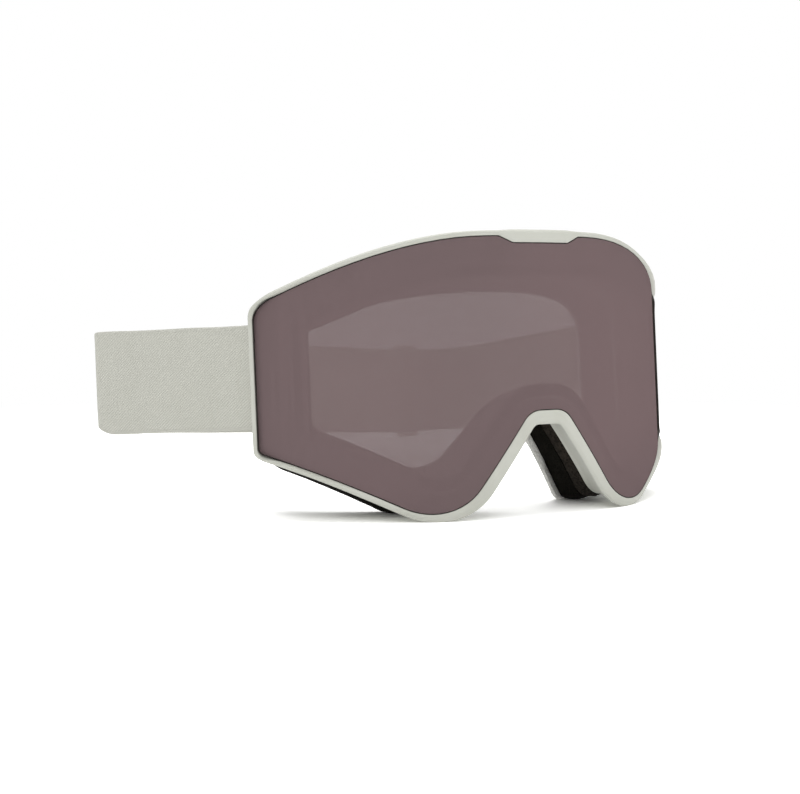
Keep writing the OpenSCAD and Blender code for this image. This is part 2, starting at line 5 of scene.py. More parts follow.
import logging
import math
from dataclasses import dataclass, field
from enum import Enum
from typing import Any, Callable, Iterable, Mapping, Sequence

import bmesh
import bpy
from mathutils import Matrix, Vector, noise

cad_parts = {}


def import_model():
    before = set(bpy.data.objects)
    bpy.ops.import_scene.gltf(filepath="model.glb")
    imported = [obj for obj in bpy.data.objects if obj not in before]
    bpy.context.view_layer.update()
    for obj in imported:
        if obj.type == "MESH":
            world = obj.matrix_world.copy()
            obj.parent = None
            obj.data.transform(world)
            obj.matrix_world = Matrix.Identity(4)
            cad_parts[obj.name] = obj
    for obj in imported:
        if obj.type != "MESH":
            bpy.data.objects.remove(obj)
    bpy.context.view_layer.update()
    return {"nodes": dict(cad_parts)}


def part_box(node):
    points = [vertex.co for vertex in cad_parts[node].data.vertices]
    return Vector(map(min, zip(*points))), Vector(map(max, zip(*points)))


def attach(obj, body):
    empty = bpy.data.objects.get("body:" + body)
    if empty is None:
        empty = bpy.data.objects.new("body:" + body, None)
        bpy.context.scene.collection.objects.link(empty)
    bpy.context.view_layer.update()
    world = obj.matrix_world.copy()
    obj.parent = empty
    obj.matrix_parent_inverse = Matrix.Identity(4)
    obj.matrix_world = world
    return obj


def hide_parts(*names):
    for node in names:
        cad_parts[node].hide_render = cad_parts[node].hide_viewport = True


LOG = logging.getLogger("goggles")

Point2 = tuple[float, float]
Point3 = tuple[float, float, float]
Corner = tuple[float, float, float]
Colour = tuple[float, float, float]
Loop = list[Point3]

PICTURE_WIDTH = 800
MM = 0.001
WHITE = (1.0, 1.0, 1.0)
# edges of the solids that stay are sharp above this many degrees
SOLID_CREASE = 30.0
# smallest corner radius of an outline, and the most of an edge that arcs may use
LEAST_RADIUS = 0.4
ARC_SHARE = 0.97
# most of a section's edge that one rounding may use
ROUND_SHARE = 0.46


def srgb(red: int, green: int, blue: int) -> Colour:
    """Turn a colour as it shows on a screen into linear light.

    Args:
        red, green, blue: Channels from 0 to 255.

    Returns:
        The linear colour.
    """
    return tuple(
        c / 12.92 if c <= 0.04045 else ((c + 0.055) / 1.055) ** 2.4
        for c in (red / 255, green / 255, blue / 255)
    )


def lerp(a: Sequence[float], b: Sequence[float], share: float) -> tuple[float, ...]:
    """Blend two points: a at share 0, b at share 1."""
    return tuple(p + (q - p) * share for p, q in zip(a, b))


def smooth(t: float) -> float:
    """Ease a number from 0 to 1, flat at both ends."""
    u = min(1.0, max(0.0, t))
    return u * u * (3 - 2 * u)


def ray(distance: float, angle: float) -> Point2:
    """The point at a distance and an angle in radians from the middle."""
    return distance * math.cos(angle), distance * math.sin(angle)


def put(name: str, data: bpy.types.ID) -> bpy.types.Object:
    """Put a mesh, a lamp or a camera into the scene.

    Args:
        name: Name of the object.
        data: What it holds.

    Returns:
        The object.
    """
    thing = bpy.data.objects.new(name, data)
    bpy.context.scene.collection.objects.link(thing)
    return thing


def shade(mesh: bpy.types.Mesh, crease: float) -> None:
    """Shade a mesh smoothly, apart from edges sharper than so many degrees."""
    mesh.shade_smooth()
    mesh.set_sharp_from_angle(angle=math.radians(crease))


# Outlines


def rounded_corner(
    before: Point2, tip: Point2, after: Point2, radius: float, steps: int
) -> list[Point2]:
    """Round one corner of a path.

    Args:
        before, tip, after: The corner and its neighbours.
        radius: Radius of the arc.
        steps: Number of chords in the arc.

    Returns:
        The points of the arc, both ends included.
    """
    p, v, q = Vector(before), Vector(tip), Vector(after)
    a, b = (p - v).normalized(), (q - v).normalized()
    half = math.acos(max(-1.0, min(1.0, a.dot(b)))) / 2
    centre = v + (a + b).normalized() * radius / math.sin(half)
    start = v + a * radius / math.tan(half) - centre
    cross = (v - p).x * (q - v).y - (v - p).y * (q - v).x
    sweep = (math.pi - 2 * half) * (1 if cross > 0 else -1)
    first = math.atan2(start.y, start.x)
    spokes = (ray(radius, first + sweep * k / steps) for k in range(steps + 1))
    return [(centre.x + x, centre.y + y) for x, y in spokes]


def rounded_box(
    half_x: float, half_y: float, radius: float, steps: int
) -> list[Point2]:
    """Walk round a rectangle with rounded corners.

    Args:
        half_x, half_y: Half its sides.
        radius: Radius of its corners.
        steps: Chords in each corner.

    Returns:
        Its points, anticlockwise from its right side.
    """
    x, y = half_x - radius, half_y - radius
    out: list[Point2] = []
    for start, cx, cy in ((0, x, y), (90, -x, y), (180, -x, -y), (270, x, -y)):
        for k in range(steps + 1):
            dx, dy = ray(radius, math.radians(start + 90 * k / steps))
            out.append((cx + dx, cy + dy))
    return out


@dataclass(frozen=True)
class Outline:
    """A symmetric closed outline.

    half holds the corners of its right half, from the top round to the nose, as x, z
    and radius.
    """

    half: tuple[Corner, ...]

    def grown(self, moves: Sequence[float]) -> "Outline":
        """Move each edge outwards.

        Args:
            moves: One distance for each of the eight edges, from the top to the nose.

        Returns:
            The grown outline.
        """
        v, out = self.half, []
        for i, (x, z, r) in enumerate(v):
            here = Vector((x, z))
            a = Vector((1, 0)) if i == 0 else (here - Vector(v[i - 1][:2])).normalized()
            b = (
                Vector((-1, 0))
                if i == len(v) - 1
                else (Vector(v[i + 1][:2]) - here).normalized()
            )
            na = Vector((-a.y, a.x)) * moves[i]
            nb = Vector((-b.y, b.x)) * moves[i + 1]
            turn = a.x * b.y - a.y * b.x
            d = nb - na
            along = 0.0 if abs(turn) < 1e-3 else (d.x * b.y - d.y * b.x) / turn
            p = here + na + a * along
            sign = (turn > 0) - (turn < 0)
            radius = r - sign * (moves[i] + moves[i + 1]) / 2
            out.append((p.x, p.y, max(LEAST_RADIUS, radius)))
        return Outline(tuple(out))

    def shrunk(self, distance: float) -> "Outline":
        """Move every edge inwards by one distance."""
        return self.grown([-distance] * 8)

    def blended(self, other: "Outline", share: float) -> "Outline":
        """Blend with another outline, corner by corner.

        Args:
            other: The outline at share 1.
            share: The blend.

        Returns:
            The blended outline.
        """
        return Outline(
            tuple(tuple(lerp(a, b, share)) for a, b in zip(self.half, other.half))
        )

    def points(self, arc: int, edge: int) -> list[Point2]:
        """Walk round the outline.

        Args:
            arc: Chords in each corner.
            edge: Chords in each straight edge.

        Returns:
            The points, equally many for every outline.
        """
        w = list(self.half) + [(-x, z, r) for x, z, r in reversed(self.half)]
        n = len(w)
        at = [Vector(c[:2]) for c in w]
        used = []
        for i in range(n):
            a = (at[i] - at[i - 1]).normalized()
            b = (at[(i + 1) % n] - at[i]).normalized()
            turn = math.acos(max(-1.0, min(1.0, a.dot(b))))
            used.append(w[i][2] * math.tan(turn / 2))
        share = []
        for i in range(n):
            nxt = (i + 1) % n
            share.append(ARC_SHARE * (at[nxt] - at[i]).length / (used[i] + used[nxt]))
        arcs = [
            rounded_corner(
                tuple(at[i - 1]),
                tuple(at[i]),
                tuple(at[(i + 1) % n]),
                w[i][2] * min(1.0, share[i], share[i - 1]),
                arc,
            )
            for i in range(n)
        ]
        out: list[Point2] = []
        for i in range(n):
            out += arcs[i]
            nxt = arcs[(i + 1) % n][0]
            out += [lerp(arcs[i][-1], nxt, k / edge) for k in range(1, edge)]
        return out


def crossing(points: list[Point2], x: float) -> tuple[float, float]:
    """Find where a closed outline starts and ends at a given x.

    Args:
        points: The outline.
        x: Where it is crossed.

    Returns:
        The lowest and highest z.
    """
    found = []
    for (x0, z0), (x1, z1) in zip(points, points[1:] + points[:1]):
        if min(x0, x1) <= x <= max(x0, x1) and abs(x1 - x0) > 1e-9:
            found.append(z0 + (z1 - z0) * (x - x0) / (x1 - x0))
    return min(found), max(found)


def rounded_rings(
    rings: Sequence[Loop], radii: Sequence[float], steps: int = 4
) -> list[Loop]:
    """Round the profile that a closed round of loops makes.

    Args:
        rings: Loops with the same number of points; the last closes on the first.
        radii: How far each loop's edge is rounded, in the loops' own unit.
        steps: Chords in each rounding.

    Returns:
        The loops, with several in place of each rounded one.
    """
    out: list[Loop] = []
    m = len(rings)
    for j, reach in enumerate(radii):
        if reach <= 0:
            out.append(list(rings[j]))
            continue
        bundle: list[Loop] = [[] for _ in range(steps + 1)]
        for p, v, q in zip(rings[j - 1], rings[j], rings[(j + 1) % m]):
            a, b, c = Vector(p), Vector(v), Vector(q)
            ra = min(reach, ROUND_SHARE * (a - b).length)
            rc = min(reach, ROUND_SHARE * (c - b).length)
            start = b + (a - b).normalized() * ra if ra > 1e-6 else b
            end = b + (c - b).normalized() * rc if rc > 1e-6 else b
            for k in range(steps + 1):
                t = k / steps
                s = start * (1 - t) ** 2 + b * (2 * t * (1 - t)) + end * t**2
                bundle[k].append(tuple(s))
        out += bundle
    return out


# Shader graph


class Value:
    """A shader socket that takes part in Python arithmetic."""

    def __init__(self, graph: "Graph", socket: Any) -> None:
        """Keep the socket and the graph that it belongs to."""
        self.graph = graph
        self.socket = socket

    def _math(self, operation: str, *values: "Value | float") -> "Value":
        """Add a Math node.

        Args:
            operation: Blender's name of the operation.
            values: Its operands.

        Returns:
            The result.
        """
        node = self.graph.node(
            "ShaderNodeMath", {"operation": operation}, dict(enumerate(values))
        )
        return Value(self.graph, node.outputs[0])

    def __add__(self, other: "Value | float") -> "Value":
        """self + other."""
        return self._math("ADD", self, other)

    def __radd__(self, other: float) -> "Value":
        """other + self."""
        return self._math("ADD", other, self)

    def __sub__(self, other: "Value | float") -> "Value":
        """self - other."""
        return self._math("SUBTRACT", self, other)

    def __rsub__(self, other: float) -> "Value":
        """other - self."""
        return self._math("SUBTRACT", other, self)

    def __mul__(self, other: "Value | float") -> "Value":
        """self * other."""
        return self._math("MULTIPLY", self, other)

    def sine(self) -> "Value":
        """Sine of the value."""
        return self._math("SINE", self)

    def absolute(self) -> "Value":
        """Size of the value without its sign."""
        return self._math("ABSOLUTE", self)

    def largest(self, other: "Value | float") -> "Value":
        """Larger of two values."""
        return self._math("MAXIMUM", self, other)

    def between(self, low: float, high: float) -> "Value":
        """Ease from 0 at low to 1 at high.

        Args:
            low, high: Where the rise starts and ends.

        Returns:
            The eased value.
        """
        node = self.graph.node(
            "ShaderNodeMapRange",
            {"interpolation_type": "SMOOTHSTEP"},
            {0: self, 1: low, 2: high, 3: 0.0, 4: 1.0},
        )
        return Value(self.graph, node.outputs[0])


class Graph:
    """The node tree of one material, or of the world."""

    def __init__(self, owner: bpy.types.Material | bpy.types.World) -> None:
        """Empty the owner's tree and give it an output.

        Args:
            owner: The material or the world.
        """
        owner.use_nodes = True
        self.tree = owner.node_tree
        self.tree.nodes.clear()
        kind = "World" if isinstance(owner, bpy.types.World) else "Material"
        self.output = self.node("ShaderNodeOutput" + kind)

    def show(self, shader: Any) -> None:
        """Connect a shader node to the output."""
        self.tree.links.new(shader.outputs[0], self.output.inputs[0])

    def node(
        self,
        kind: str,
        settings: Mapping[str, Any] | None = None,
        inputs: Mapping[str | int, Any] | None = None,
    ) -> Any:
        """Add a node.

        Args:
            kind: Blender's name of the node's type.
            settings: Its settings, which are set first.
            inputs: Values or links of its sockets, by name or number.

        Returns:
            The node.
        """
        node = self.tree.nodes.new(kind)
        for key, value in (settings or {}).items():
            setattr(node, key, value)
        for key, value in (inputs or {}).items():
            target = node.inputs[key]
            if isinstance(value, Value):
                self.tree.links.new(value.socket, target)
            elif isinstance(value, bpy.types.NodeSocket):
                self.tree.links.new(value, target)
            elif target.type == "RGBA":
                target.default_value = (*value, 1.0)
            else:
                target.default_value = value
        return node

    def place(self) -> Any:
        """The socket that holds the place on the object, in metres."""
        return self.node("ShaderNodeTexCoord").outputs["Object"]

    def along(self) -> tuple[Value, Value]:
        """Read the map of a band.

        Returns:
            Length along it and height from its middle, in metres.
        """
        spot = self.node("ShaderNodeTexCoord").outputs["UV"]
        split = self.node("ShaderNodeSeparateXYZ", inputs={0: spot})
        return Value(self, split.outputs[0]), Value(self, split.outputs[1])

    def noise(self, scale: float, detail: float, rough: float = 0.55) -> Value:
        """Noise over the object, from 0 to 1.

        Args:
            scale: Number of blobs to a metre.
            detail: Octaves.
            rough: Weight of the finer octaves.

        Returns:
            The noise value.
        """
        node = self.node(
            "ShaderNodeTexNoise",
            inputs={
                "Vector": self.place(),
                "Scale": scale,
                "Detail": detail,
                "Roughness": rough,
            },
        )
        return Value(self, node.outputs[0])

    def cells(self, scale: float) -> Value:
        """Distance to the nearest of scattered points, as pores or tufts.

        Args:
            scale: Cells to a metre.

        Returns:
            The distance.
        """
        node = self.node(
            "ShaderNodeTexVoronoi", inputs={"Vector": self.place(), "Scale": scale}
        )
        return Value(self, node.outputs["Distance"])

    def tint(self, dark: Colour, light: Colour, share: Value) -> Any:
        """Blend two colours.

        Args:
            dark, light: The colours at share 0 and at share 1.
            share: The blend.

        Returns:
            The colour socket.
        """
        node = self.node(
            "ShaderNodeMix",
            {"data_type": "RGBA", "clamp_factor": True},
            {0: share, 6: dark, 7: light},
        )
        return node.outputs[2]

    def bump(self, height: Value, depth: float, strength: float) -> Any:
        """Turn a height into a normal.

        Args:
            height: The height, from 0 to 1.
            depth: Real height of 1, in metres.
            strength: Share of the effect.

        Returns:
            The normal socket.
        """
        node = self.node(
            "ShaderNodeBump",
            inputs={"Strength": strength, "Distance": depth, "Height": height},
        )
        return node.outputs[0]

    def surface(self, **inputs: Any) -> None:
        """Add the main shader and connect it, with _ for a space in a socket's name."""
        named = {name.replace("_", " "): value for name, value in inputs.items()}
        self.show(self.node("ShaderNodeBsdfPrincipled", inputs=named))

    def matt(self, level: float) -> Any:
        """A matt grey shader that gives back this share of the light."""
        return self.node("ShaderNodeBsdfDiffuse", inputs={"Color": (level,) * 3})

    def light(self, kind: str, strength: float) -> Any:
        """A shader that gives white light of its own, of a given kind of node."""
        return self.node(kind, inputs={"Color": WHITE, "Strength": strength})

    def summed(self, first: Any, second: Any) -> Any:
        """Add one shader's light to another's.

        Args:
            first, second: The two shaders.

        Returns:
            The summed shader.
        """
        return self.node(
            "ShaderNodeAddShader", inputs={0: first.outputs[0], 1: second.outputs[0]}
        )

    def mixed(self, share: Value, first: Any, second: Any) -> Any:
        """Mix two shaders.

        Args:
            share: The blend.
            first, second: The shaders at share 0 and at share 1.

        Returns:
            The mixed shader.
        """
        return self.node(
            "ShaderNodeMixShader",
            inputs={0: share, 1: first.outputs[0], 2: second.outputs[0]},
        )


# Finishes


class Finish:
    """A material that is made once and shared."""

    _made: dict[str, bpy.types.Material] = {}
    name: str

    def build(self, graph: Graph) -> None:
        """Fill the graph."""
        raise NotImplementedError

    def material(self) -> bpy.types.Material:
        """Make the material on its first use.

        Returns:
            The material, the same one each time.
        """
        if self.name not in Finish._made:
            material = bpy.data.materials.new(self.name)
            self.build(Graph(material))
            Finish._made[self.name] = material
        return Finish._made[self.name]


@dataclass(frozen=True)
class SoftMoulding(Finish):
    """Satin moulded frame plastic with a very fine eroded texture."""

    name: str = "frame_moulding"
    light: Colour = srgb(188, 189, 180)
    dark: Colour = srgb(181, 182, 172)
    grain: float = 2600.0

    def build(self, graph: Graph) -> None:
        """Colour drifts a little, and the grain breaks the gloss.

        Args:
            graph: The material's nodes.
        """
        drift = graph.noise(38, 4)
        grain = graph.noise(self.grain, 2, 0.6)
        graph.surface(
            Base_Color=graph.tint(self.dark, self.light, drift.between(0.3, 0.62)),
            Roughness=0.44 + graph.noise(420, 3) * 0.12,
            Specular_IOR_Level=0.4,
            Normal=graph.bump(grain, 0.00004, 0.5),
        )


@dataclass(frozen=True)
class TintedLens(Finish):
    """Mauve lens that lets a little of what is behind it through."""

    name: str = "tinted_lens"
    light: Colour = srgb(125, 107, 108)
    dark: Colour = srgb(120, 104, 105)
    cover: float = 0.764

    def build(self, graph: Graph) -> None:
        """The coating's colour drifts over the lens in wide soft clouds.

        Args:
            graph: The material's nodes.
        """
        cloud = graph.noise(9, 1, 0.3)
        graph.surface(
            Base_Color=graph.tint(self.dark, self.light, cloud.between(0.3, 0.7)),
            Roughness=0.14 + graph.noise(60, 2) * 0.02,
            Alpha=self.cover,
            Specular_IOR_Level=0.0,
        )


@dataclass(frozen=True)
class ClearLens(Finish):
    """Thin clear inner lens with a faint haze."""

    name: str = "clear_lens"
    colour: Colour = srgb(214, 208, 210)
    cover: float = 0.05

    def build(self, graph: Graph) -> None:
        """Haze comes from a little colour and roughness.

        Args:
            graph: The material's nodes.
        """
        graph.surface(
            Base_Color=self.colour,
            Roughness=0.12 + graph.noise(30, 2) * 0.05,
            Alpha=self.cover,
            Specular_IOR_Level=0.2,
        )


@dataclass(frozen=True)
class SoftRubber(Finish):
    """Black gasket rubber."""

    name: str = "gasket_rubber"
    colour: Colour = srgb(38, 33, 29)
    dust: Colour = srgb(50, 46, 41)

    def build(self, graph: Graph) -> None:
        """Matt, with a dusty bloom in patches.

        Args:
            graph: The material's nodes.
        """
        bloom = graph.noise(160, 4)
        graph.surface(
            Base_Color=graph.tint(self.colour, self.dust, bloom.between(0.45, 0.75)),
            Roughness=0.6 + bloom * 0.2,
            Specular_IOR_Level=0.35,
            Normal=graph.bump(graph.noise(1800, 2), 0.00005, 0.5),
        )


@dataclass(frozen=True)
class OpenFoam(Finish):
    """Open-cell foam: its colour, shown in the pores as painted shade, the lighter
    colour of its cell walls and how many pores a metre holds.
    """

    name: str
    colour: Colour
    walls: Colour
    pores: float

    def build(self, graph: Graph) -> None:
        """Cell walls are lighter than the pores, whose darker colour is painted shade
        in the pits, and the surface is pitted.

        Args:
            graph: The material's nodes.
        """
        walls = graph.cells(self.pores).between(0.2, 0.62)
        lumps = graph.noise(260, 4, 0.6)
        # painted shade: the colour darkens in the pores and low lumps that the bump
        # sinks
        share = walls * (0.35 + lumps * 0.9)
        graph.surface(
            Base_Color=graph.tint(self.colour, self.walls, share),
            Roughness=0.95,
            Specular_IOR_Level=0.04,
            Normal=graph.bump(walls * 0.7 + lumps * 0.6, 0.0004, 0.9),
        )


@dataclass(frozen=True)
class BrushedFleece(Finish):
    """Light fleece that faces the skin."""

    name: str = "fleece"
    light: Colour = srgb(238, 237, 232)
    dark: Colour = srgb(204, 203, 198)

    def build(self, graph: Graph) -> None:
        """Tufts are light at their tips as a painted highlight and grey between them as
        painted shade.

        Args:
            graph: The material's nodes.
        """
        tufts = graph.cells(1150)
        fibres = graph.noise(3200, 3, 0.7)
        # painted highlight on the tuft tips and painted shade between the tufts, on the
        # same height that the bump raises
        share = (1 - tufts.between(0.15, 0.75)) * 0.75 + fibres * 0.35
        graph.surface(
            Base_Color=graph.tint(self.dark, self.light, share),
            Roughness=0.95,
            Specular_IOR_Level=0.1,
            Sheen_Weight=0.3,
            Sheen_Roughness=0.5,
            Normal=graph.bump(share, 0.0004, 0.8),
        )


@dataclass(frozen=True)
class TwillWebbing(Finish):
    """Off-white elastic webbing with a diagonal twill face and ribbed edges."""

    name: str = "strap_webbing"
    light: Colour = srgb(202, 202, 194)
    dark: Colour = srgb(171, 171, 161)
    width: float = 0.038
    pitch: float = 0.0011
    slant: float = 0.62
    pick_pitch: float = 0.00062
    yarn_pitch: float = 0.00055
    edge_width: float = 0.0012
    seam_in: float = 0.0014
    seam_width: float = 0.00035

    def build(self, graph: Graph) -> None:
        """Diagonal ribs of yarn cross fine picks; the edge has its own tight rib. The
        colour follows their height, with painted shade in the hollows and in the seam
        groove.

        Args:
            graph: The material's nodes.
        """
        length, height = graph.along()
        round_turn = 2 * math.pi
        wander = (graph.noise(160, 4) - 0.5) * 2.6
        slope = (length * self.slant + height) * (round_turn / self.pitch)
        rib = (slope + wander).sine() * 0.5 + 0.5
        pick = (length * (round_turn / self.pick_pitch)).sine() * 0.5 + 0.5
        yarn = (height * (round_turn / self.yarn_pitch)).sine() * 0.5 + 0.5
        out = height.absolute()
        edge = (out - (self.width / 2 - self.edge_width)).between(0.0, 0.0004)
        groove = (out - (self.width / 2 - self.seam_in)).absolute()
        face = rib * 0.6 + pick * yarn * 0.4
        weave = face * (1 - edge) + pick * 0.8 * edge
        shaded_seam_groove = 1 - groove.between(0.0, self.seam_width)
        mottle = graph.noise(55, 5, 0.6).between(0.28, 0.72)
        # colour follows the weave's height: lighter crests, painted shade in the
        # hollows and in the seam groove; the mottle is random tone
        share = weave * 0.8 + mottle * 0.1 - shaded_seam_groove * 0.1
        graph.surface(
            Base_Color=graph.tint(self.dark, self.light, share),
            Roughness=0.86 + weave * 0.08,
            Specular_IOR_Level=0.18,
            Sheen_Weight=0.12,
            Sheen_Roughness=0.45,
            Normal=graph.bump(weave - shaded_seam_groove * 0.2, 0.0002, 0.8),
        )


@dataclass(frozen=True)
class Moulding(Finish):
    """Hard moulded plastic of the adjuster and the keeper."""

    name: str = "slider_plastic"
    light: Colour = srgb(198, 197, 188)
    dark: Colour = srgb(192, 191, 182)

    def build(self, graph: Graph) -> None:
        """Satin, with faint flow marks.

        Args:
            graph: The material's nodes.
        """
        flow = graph.noise(150, 4)
        graph.surface(
            Base_Color=graph.tint(self.dark, self.light, flow.between(0.3, 0.6)),
            Roughness=0.36 + flow * 0.12,
            Specular_IOR_Level=0.45,
            Normal=graph.bump(graph.noise(1600, 2), 0.00003, 0.5),
        )


@dataclass(frozen=True)
class PlatedMetal(Finish):
    """Nickel plate on pins and magnets."""

    name: str = "nickel"
    bright: Colour = srgb(196, 196, 194)
    dull: Colour = srgb(160, 159, 157)

    def build(self, graph: Graph) -> None:
        """Bright, with fine rubbing marks.

        Args:
            graph: The material's nodes.
        """
        rub = graph.noise(700, 4, 0.7)
        graph.surface(
            Base_Color=graph.tint(self.dull, self.bright, rub.between(0.3, 0.6)),
            Metallic=1.0,
            Roughness=0.24 + rub * 0.16,
            Normal=graph.bump(rub, 0.00002, 0.5),
        )


@dataclass(frozen=True)
class Thread(Finish):
    """Twisted sewing thread."""

    name: str = "thread"
    light: Colour = srgb(226, 225, 217)
    dark: Colour = srgb(180, 179, 170)

    def build(self, graph: Graph) -> None:
        """The ply is painted fine light and dark, as painted highlight on its twists
        and painted shade between them.

        Args:
            graph: The material's nodes.
        """
        ply = graph.noise(2600, 2)
        # painted highlight and painted shade: the colour follows the ply noise that
        # also makes the bump
        graph.surface(
            Base_Color=graph.tint(self.dark, self.light, ply.between(0.35, 0.6)),
            Roughness=0.8,
            Specular_IOR_Level=0.2,
            Normal=graph.bump(ply, 0.00008, 0.7),
        )


# Meshes


@dataclass
class Piece:
    """One visible piece before it becomes an object."""

    name: str
    finish: Finish
    slot: str
    body: str = "mask"
    stands_for: tuple[str, ...] = ()
    vertices: list[Point3] = field(default_factory=list)
    faces: list[tuple[int, ...]] = field(default_factory=list)
    map_points: list[Point2] = field(default_factory=list)

    def add(self, vertices: Iterable[Point3], faces: Iterable[Sequence[int]]) -> None:
        """Add a patch of mesh.

        Args:
            vertices: Its points, in metres in the row frame.
            faces: Its faces, numbered from its own first point.
        """
        base = len(self.vertices)
        self.vertices += [tuple(v) for v in vertices]
        self.faces += [tuple(base + i for i in f) for f in faces]

    def add_rings(self, rings: Sequence[Loop], closed: bool = True) -> None:
        """Add a skin over loops that have the same number of points.

        Args:
            rings: The loops.
            closed: Whether the last loop joins the first; else the ends are capped.
        """
        m, n = len(rings), len(rings[0])
        faces: list[tuple[int, ...]] = []
        for j in range(m if closed else m - 1):
            k = (j + 1) % m
            for i in range(n):
                i2 = (i + 1) % n
                faces.append((j * n + i, k * n + i, k * n + i2, j * n + i2))
        if not closed:
            faces.append(tuple(range(n)))
            faces.append(tuple((m - 1) * n + i for i in reversed(range(n))))
        self.add([p for ring in rings for p in ring], faces)

    def mesh(self) -> bpy.types.Mesh:
        """Join the patches, turn their faces outwards and lay the map.

        Returns:
            The mesh.
        """
        mesh = bpy.data.meshes.new(self.name)
        mesh.from_pydata(self.vertices, [], self.faces)
        bm = bmesh.new()
        bm.from_mesh(mesh)
        bmesh.ops.recalc_face_normals(bm, faces=bm.faces)
        if self.map_points:
            layer = bm.loops.layers.uv.new("band")
            for face in bm.faces:
                for loop in face.loops:
                    loop[layer].uv = self.map_points[loop.vert.index]
        bm.to_mesh(mesh)
        bm.free()
        return mesh

    def make(self, crease: float = 40.0) -> bpy.types.Object:
        """Make the object, give it its finish and put it on its body.

        Args:
            crease: Edges sharper than this many degrees stay sharp.

        Returns:
            The object.
        """
        piece = put(self.name, self.mesh())
        shade(piece.data, crease)
        piece.data.materials.append(self.finish.material())
        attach(piece, self.body)
        if self.stands_for:
            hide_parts(*self.stands_for)
        LOG.info("%s: %d vertices on %s", self.name, len(self.vertices), self.body)
        return piece


def cut(target: bpy.types.Object, tools: Sequence[bpy.types.Object]) -> None:
    """Cut tools out of an object and delete them.

    Args:
        target: The object that loses material.
        tools: The closed shapes to take away.
    """
    for tool in tools:
        change = target.modifiers.new("cut", "BOOLEAN")
        change.operation = "DIFFERENCE"
        change.solver = "EXACT"
        change.object = tool
    graph = bpy.context.evaluated_depsgraph_get()
    result = bpy.data.meshes.new_from_object(target.evaluated_get(graph))
    old = target.data
    target.modifiers.clear()
    target.data = result
    bpy.data.meshes.remove(old)
    for tool in tools:
        bpy.data.objects.remove(tool)


def repaint(node: bpy.types.Object, finish: Finish) -> None:
    """Give a carried-over solid its finish and smooth shading.

    Args:
        node: The solid.
        finish: Its finish.
    """
    node.data.materials.clear()
    node.data.materials.append(finish.material())
    shade(node.data, SOLID_CREASE)
    LOG.info("%s: finished as it is", node.name)


# Shared shape


